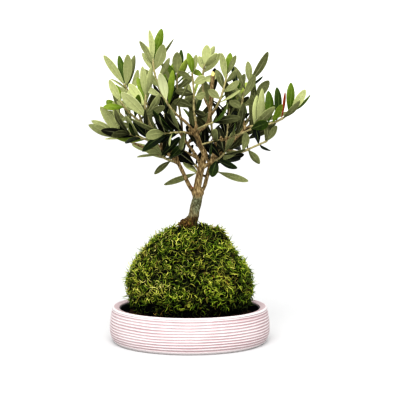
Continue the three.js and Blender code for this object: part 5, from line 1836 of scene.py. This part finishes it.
class KOKEDAMA_OT_stage(bpy.types.Operator):
    """Lay the pale floor, set the soft studio light and place the camera"""

    bl_idname = "kokedama.stage"
    bl_label = "Stage"

    def execute(self, context):
        scene = context.scene
        look = scene.kokedama_stage
        scene.view_settings.view_transform = "Standard"
        scene.view_settings.look = "High Contrast"
        self.lay_floor(scene, look)
        self.hang_lights(scene, look)
        self.place_camera(scene)
        return {"FINISHED"}

    def lay_floor(self, scene, look):
        """A wide flat square just under the dish, of pale painted board. Its glow only whitens it
        to the eye, and lights nothing."""
        corners = np.array([(-1, -1), (1, -1), (1, 1), (-1, 1)]) * FLOOR_REACH
        mesh = bpy.data.meshes.new("floor")
        mesh.from_pydata([(x, y, FLOOR_DROP) for x, y in corners], [], [(0, 1, 2, 3)])
        material, tree = new_tree("Pale painted board")
        direct = add_node(tree, "LightPath", out="Is Camera Ray")
        glow = add_node(tree, "MapRange", {0: direct, 3: 0.0, 4: look.floor_glow})
        close_tree(
            tree,
            {
                "Base Color": (*look.floor, 1),
                "Roughness": 0.9,
                "Specular IOR Level": 0.0,
                "Emission Color": (1, 1, 1, 1),
                "Emission Strength": glow,
            },
        )
        mesh.materials.append(material)
        floor = bpy.data.objects.new("floor", mesh)
        scene.collection.objects.link(floor)
        return floor

    def hang_lights(self, scene, look):
        """A broad soft sun from high in front, a little to the left, and even light from all round.
        The room shows white behind the floor."""
        key = bpy.data.lights.new("key", "SUN")
        key.energy = look.key
        key.angle = math.radians(SUN_WIDTH)
        lamp = bpy.data.objects.new("key", key)
        lamp.rotation_euler = [math.radians(turn) for turn in SUN_TURNS]
        scene.collection.objects.link(lamp)
        world = bpy.data.worlds.new("room")
        world.use_nodes = True
        tree = world.node_tree
        tree.nodes.clear()
        direct = add_node(tree, "LightPath", out="Is Camera Ray")
        strength = add_node(tree, "MapRange", {0: direct, 3: look.fill, 4: 1.0})
        light = add_node(tree, "Background", {"Color": (1, 1, 1, 1), "Strength": strength})
        add_node(tree, "OutputWorld", {"Surface": light})
        scene.world = world

    def place_camera(self, scene):
        data = bpy.data.cameras.new("view")
        data.lens = LENS
        data.sensor_width = SENSOR
        camera = bpy.data.objects.new("view", data)
        camera.location = (VIEW_ACROSS * MM, -VIEW_DISTANCE * MM, VIEW_HEIGHT * MM)
        camera.rotation_euler = (math.radians(90 - VIEW_DROP), 0, 0)
        scene.collection.objects.link(camera)
        scene.camera = camera


class KOKEDAMA_PT_panel(bpy.types.Panel):
    """The kokedama's pieces and what can be changed on them"""

    bl_label = "Kokedama"
    bl_idname = "KOKEDAMA_PT_panel"
    bl_space_type = "VIEW_3D"
    bl_region_type = "UI"
    bl_category = "Kokedama"

    def draw(self, context):
        for operator in OPERATORS:
            self.layout.operator(operator.bl_idname)
        for name, group in GROUPS.items():
            box = self.layout.box()
            box.label(text=name.replace("kokedama_", "").capitalize())
            for prop in group.__annotations__:
                box.prop(getattr(context.scene, name), prop)


OPERATORS = (
    KOKEDAMA_OT_dish,
    KOKEDAMA_OT_tray,
    KOKEDAMA_OT_soil,
    KOKEDAMA_OT_moss,
    KOKEDAMA_OT_tree,
    KOKEDAMA_OT_stage,
)
GROUPS = {
    "kokedama_dish": KokedamaDish,
    "kokedama_soil": KokedamaSoil,
    "kokedama_moss": KokedamaMoss,
    "kokedama_wood": KokedamaWood,
    "kokedama_leaves": KokedamaLeaves,
    "kokedama_stage": KokedamaStage,
}


def register():
    for group in GROUPS.values():
        bpy.utils.register_class(group)
    for cls in (*OPERATORS, KOKEDAMA_PT_panel):
        bpy.utils.register_class(cls)
    for name, group in GROUPS.items():
        setattr(bpy.types.Scene, name, PointerProperty(type=group))


def unregister():
    for name in GROUPS:
        delattr(bpy.types.Scene, name)
    for cls in (KOKEDAMA_PT_panel, *OPERATORS, *GROUPS.values()):
        bpy.utils.unregister_class(cls)


def main():
    register()
    bpy.ops.kokedama.stage()
    bpy.ops.kokedama.dish()
    bpy.ops.kokedama.tray()
    bpy.ops.kokedama.soil()
    bpy.ops.kokedama.moss()
    bpy.ops.kokedama.tree()


if __name__ == "__main__":
    main()
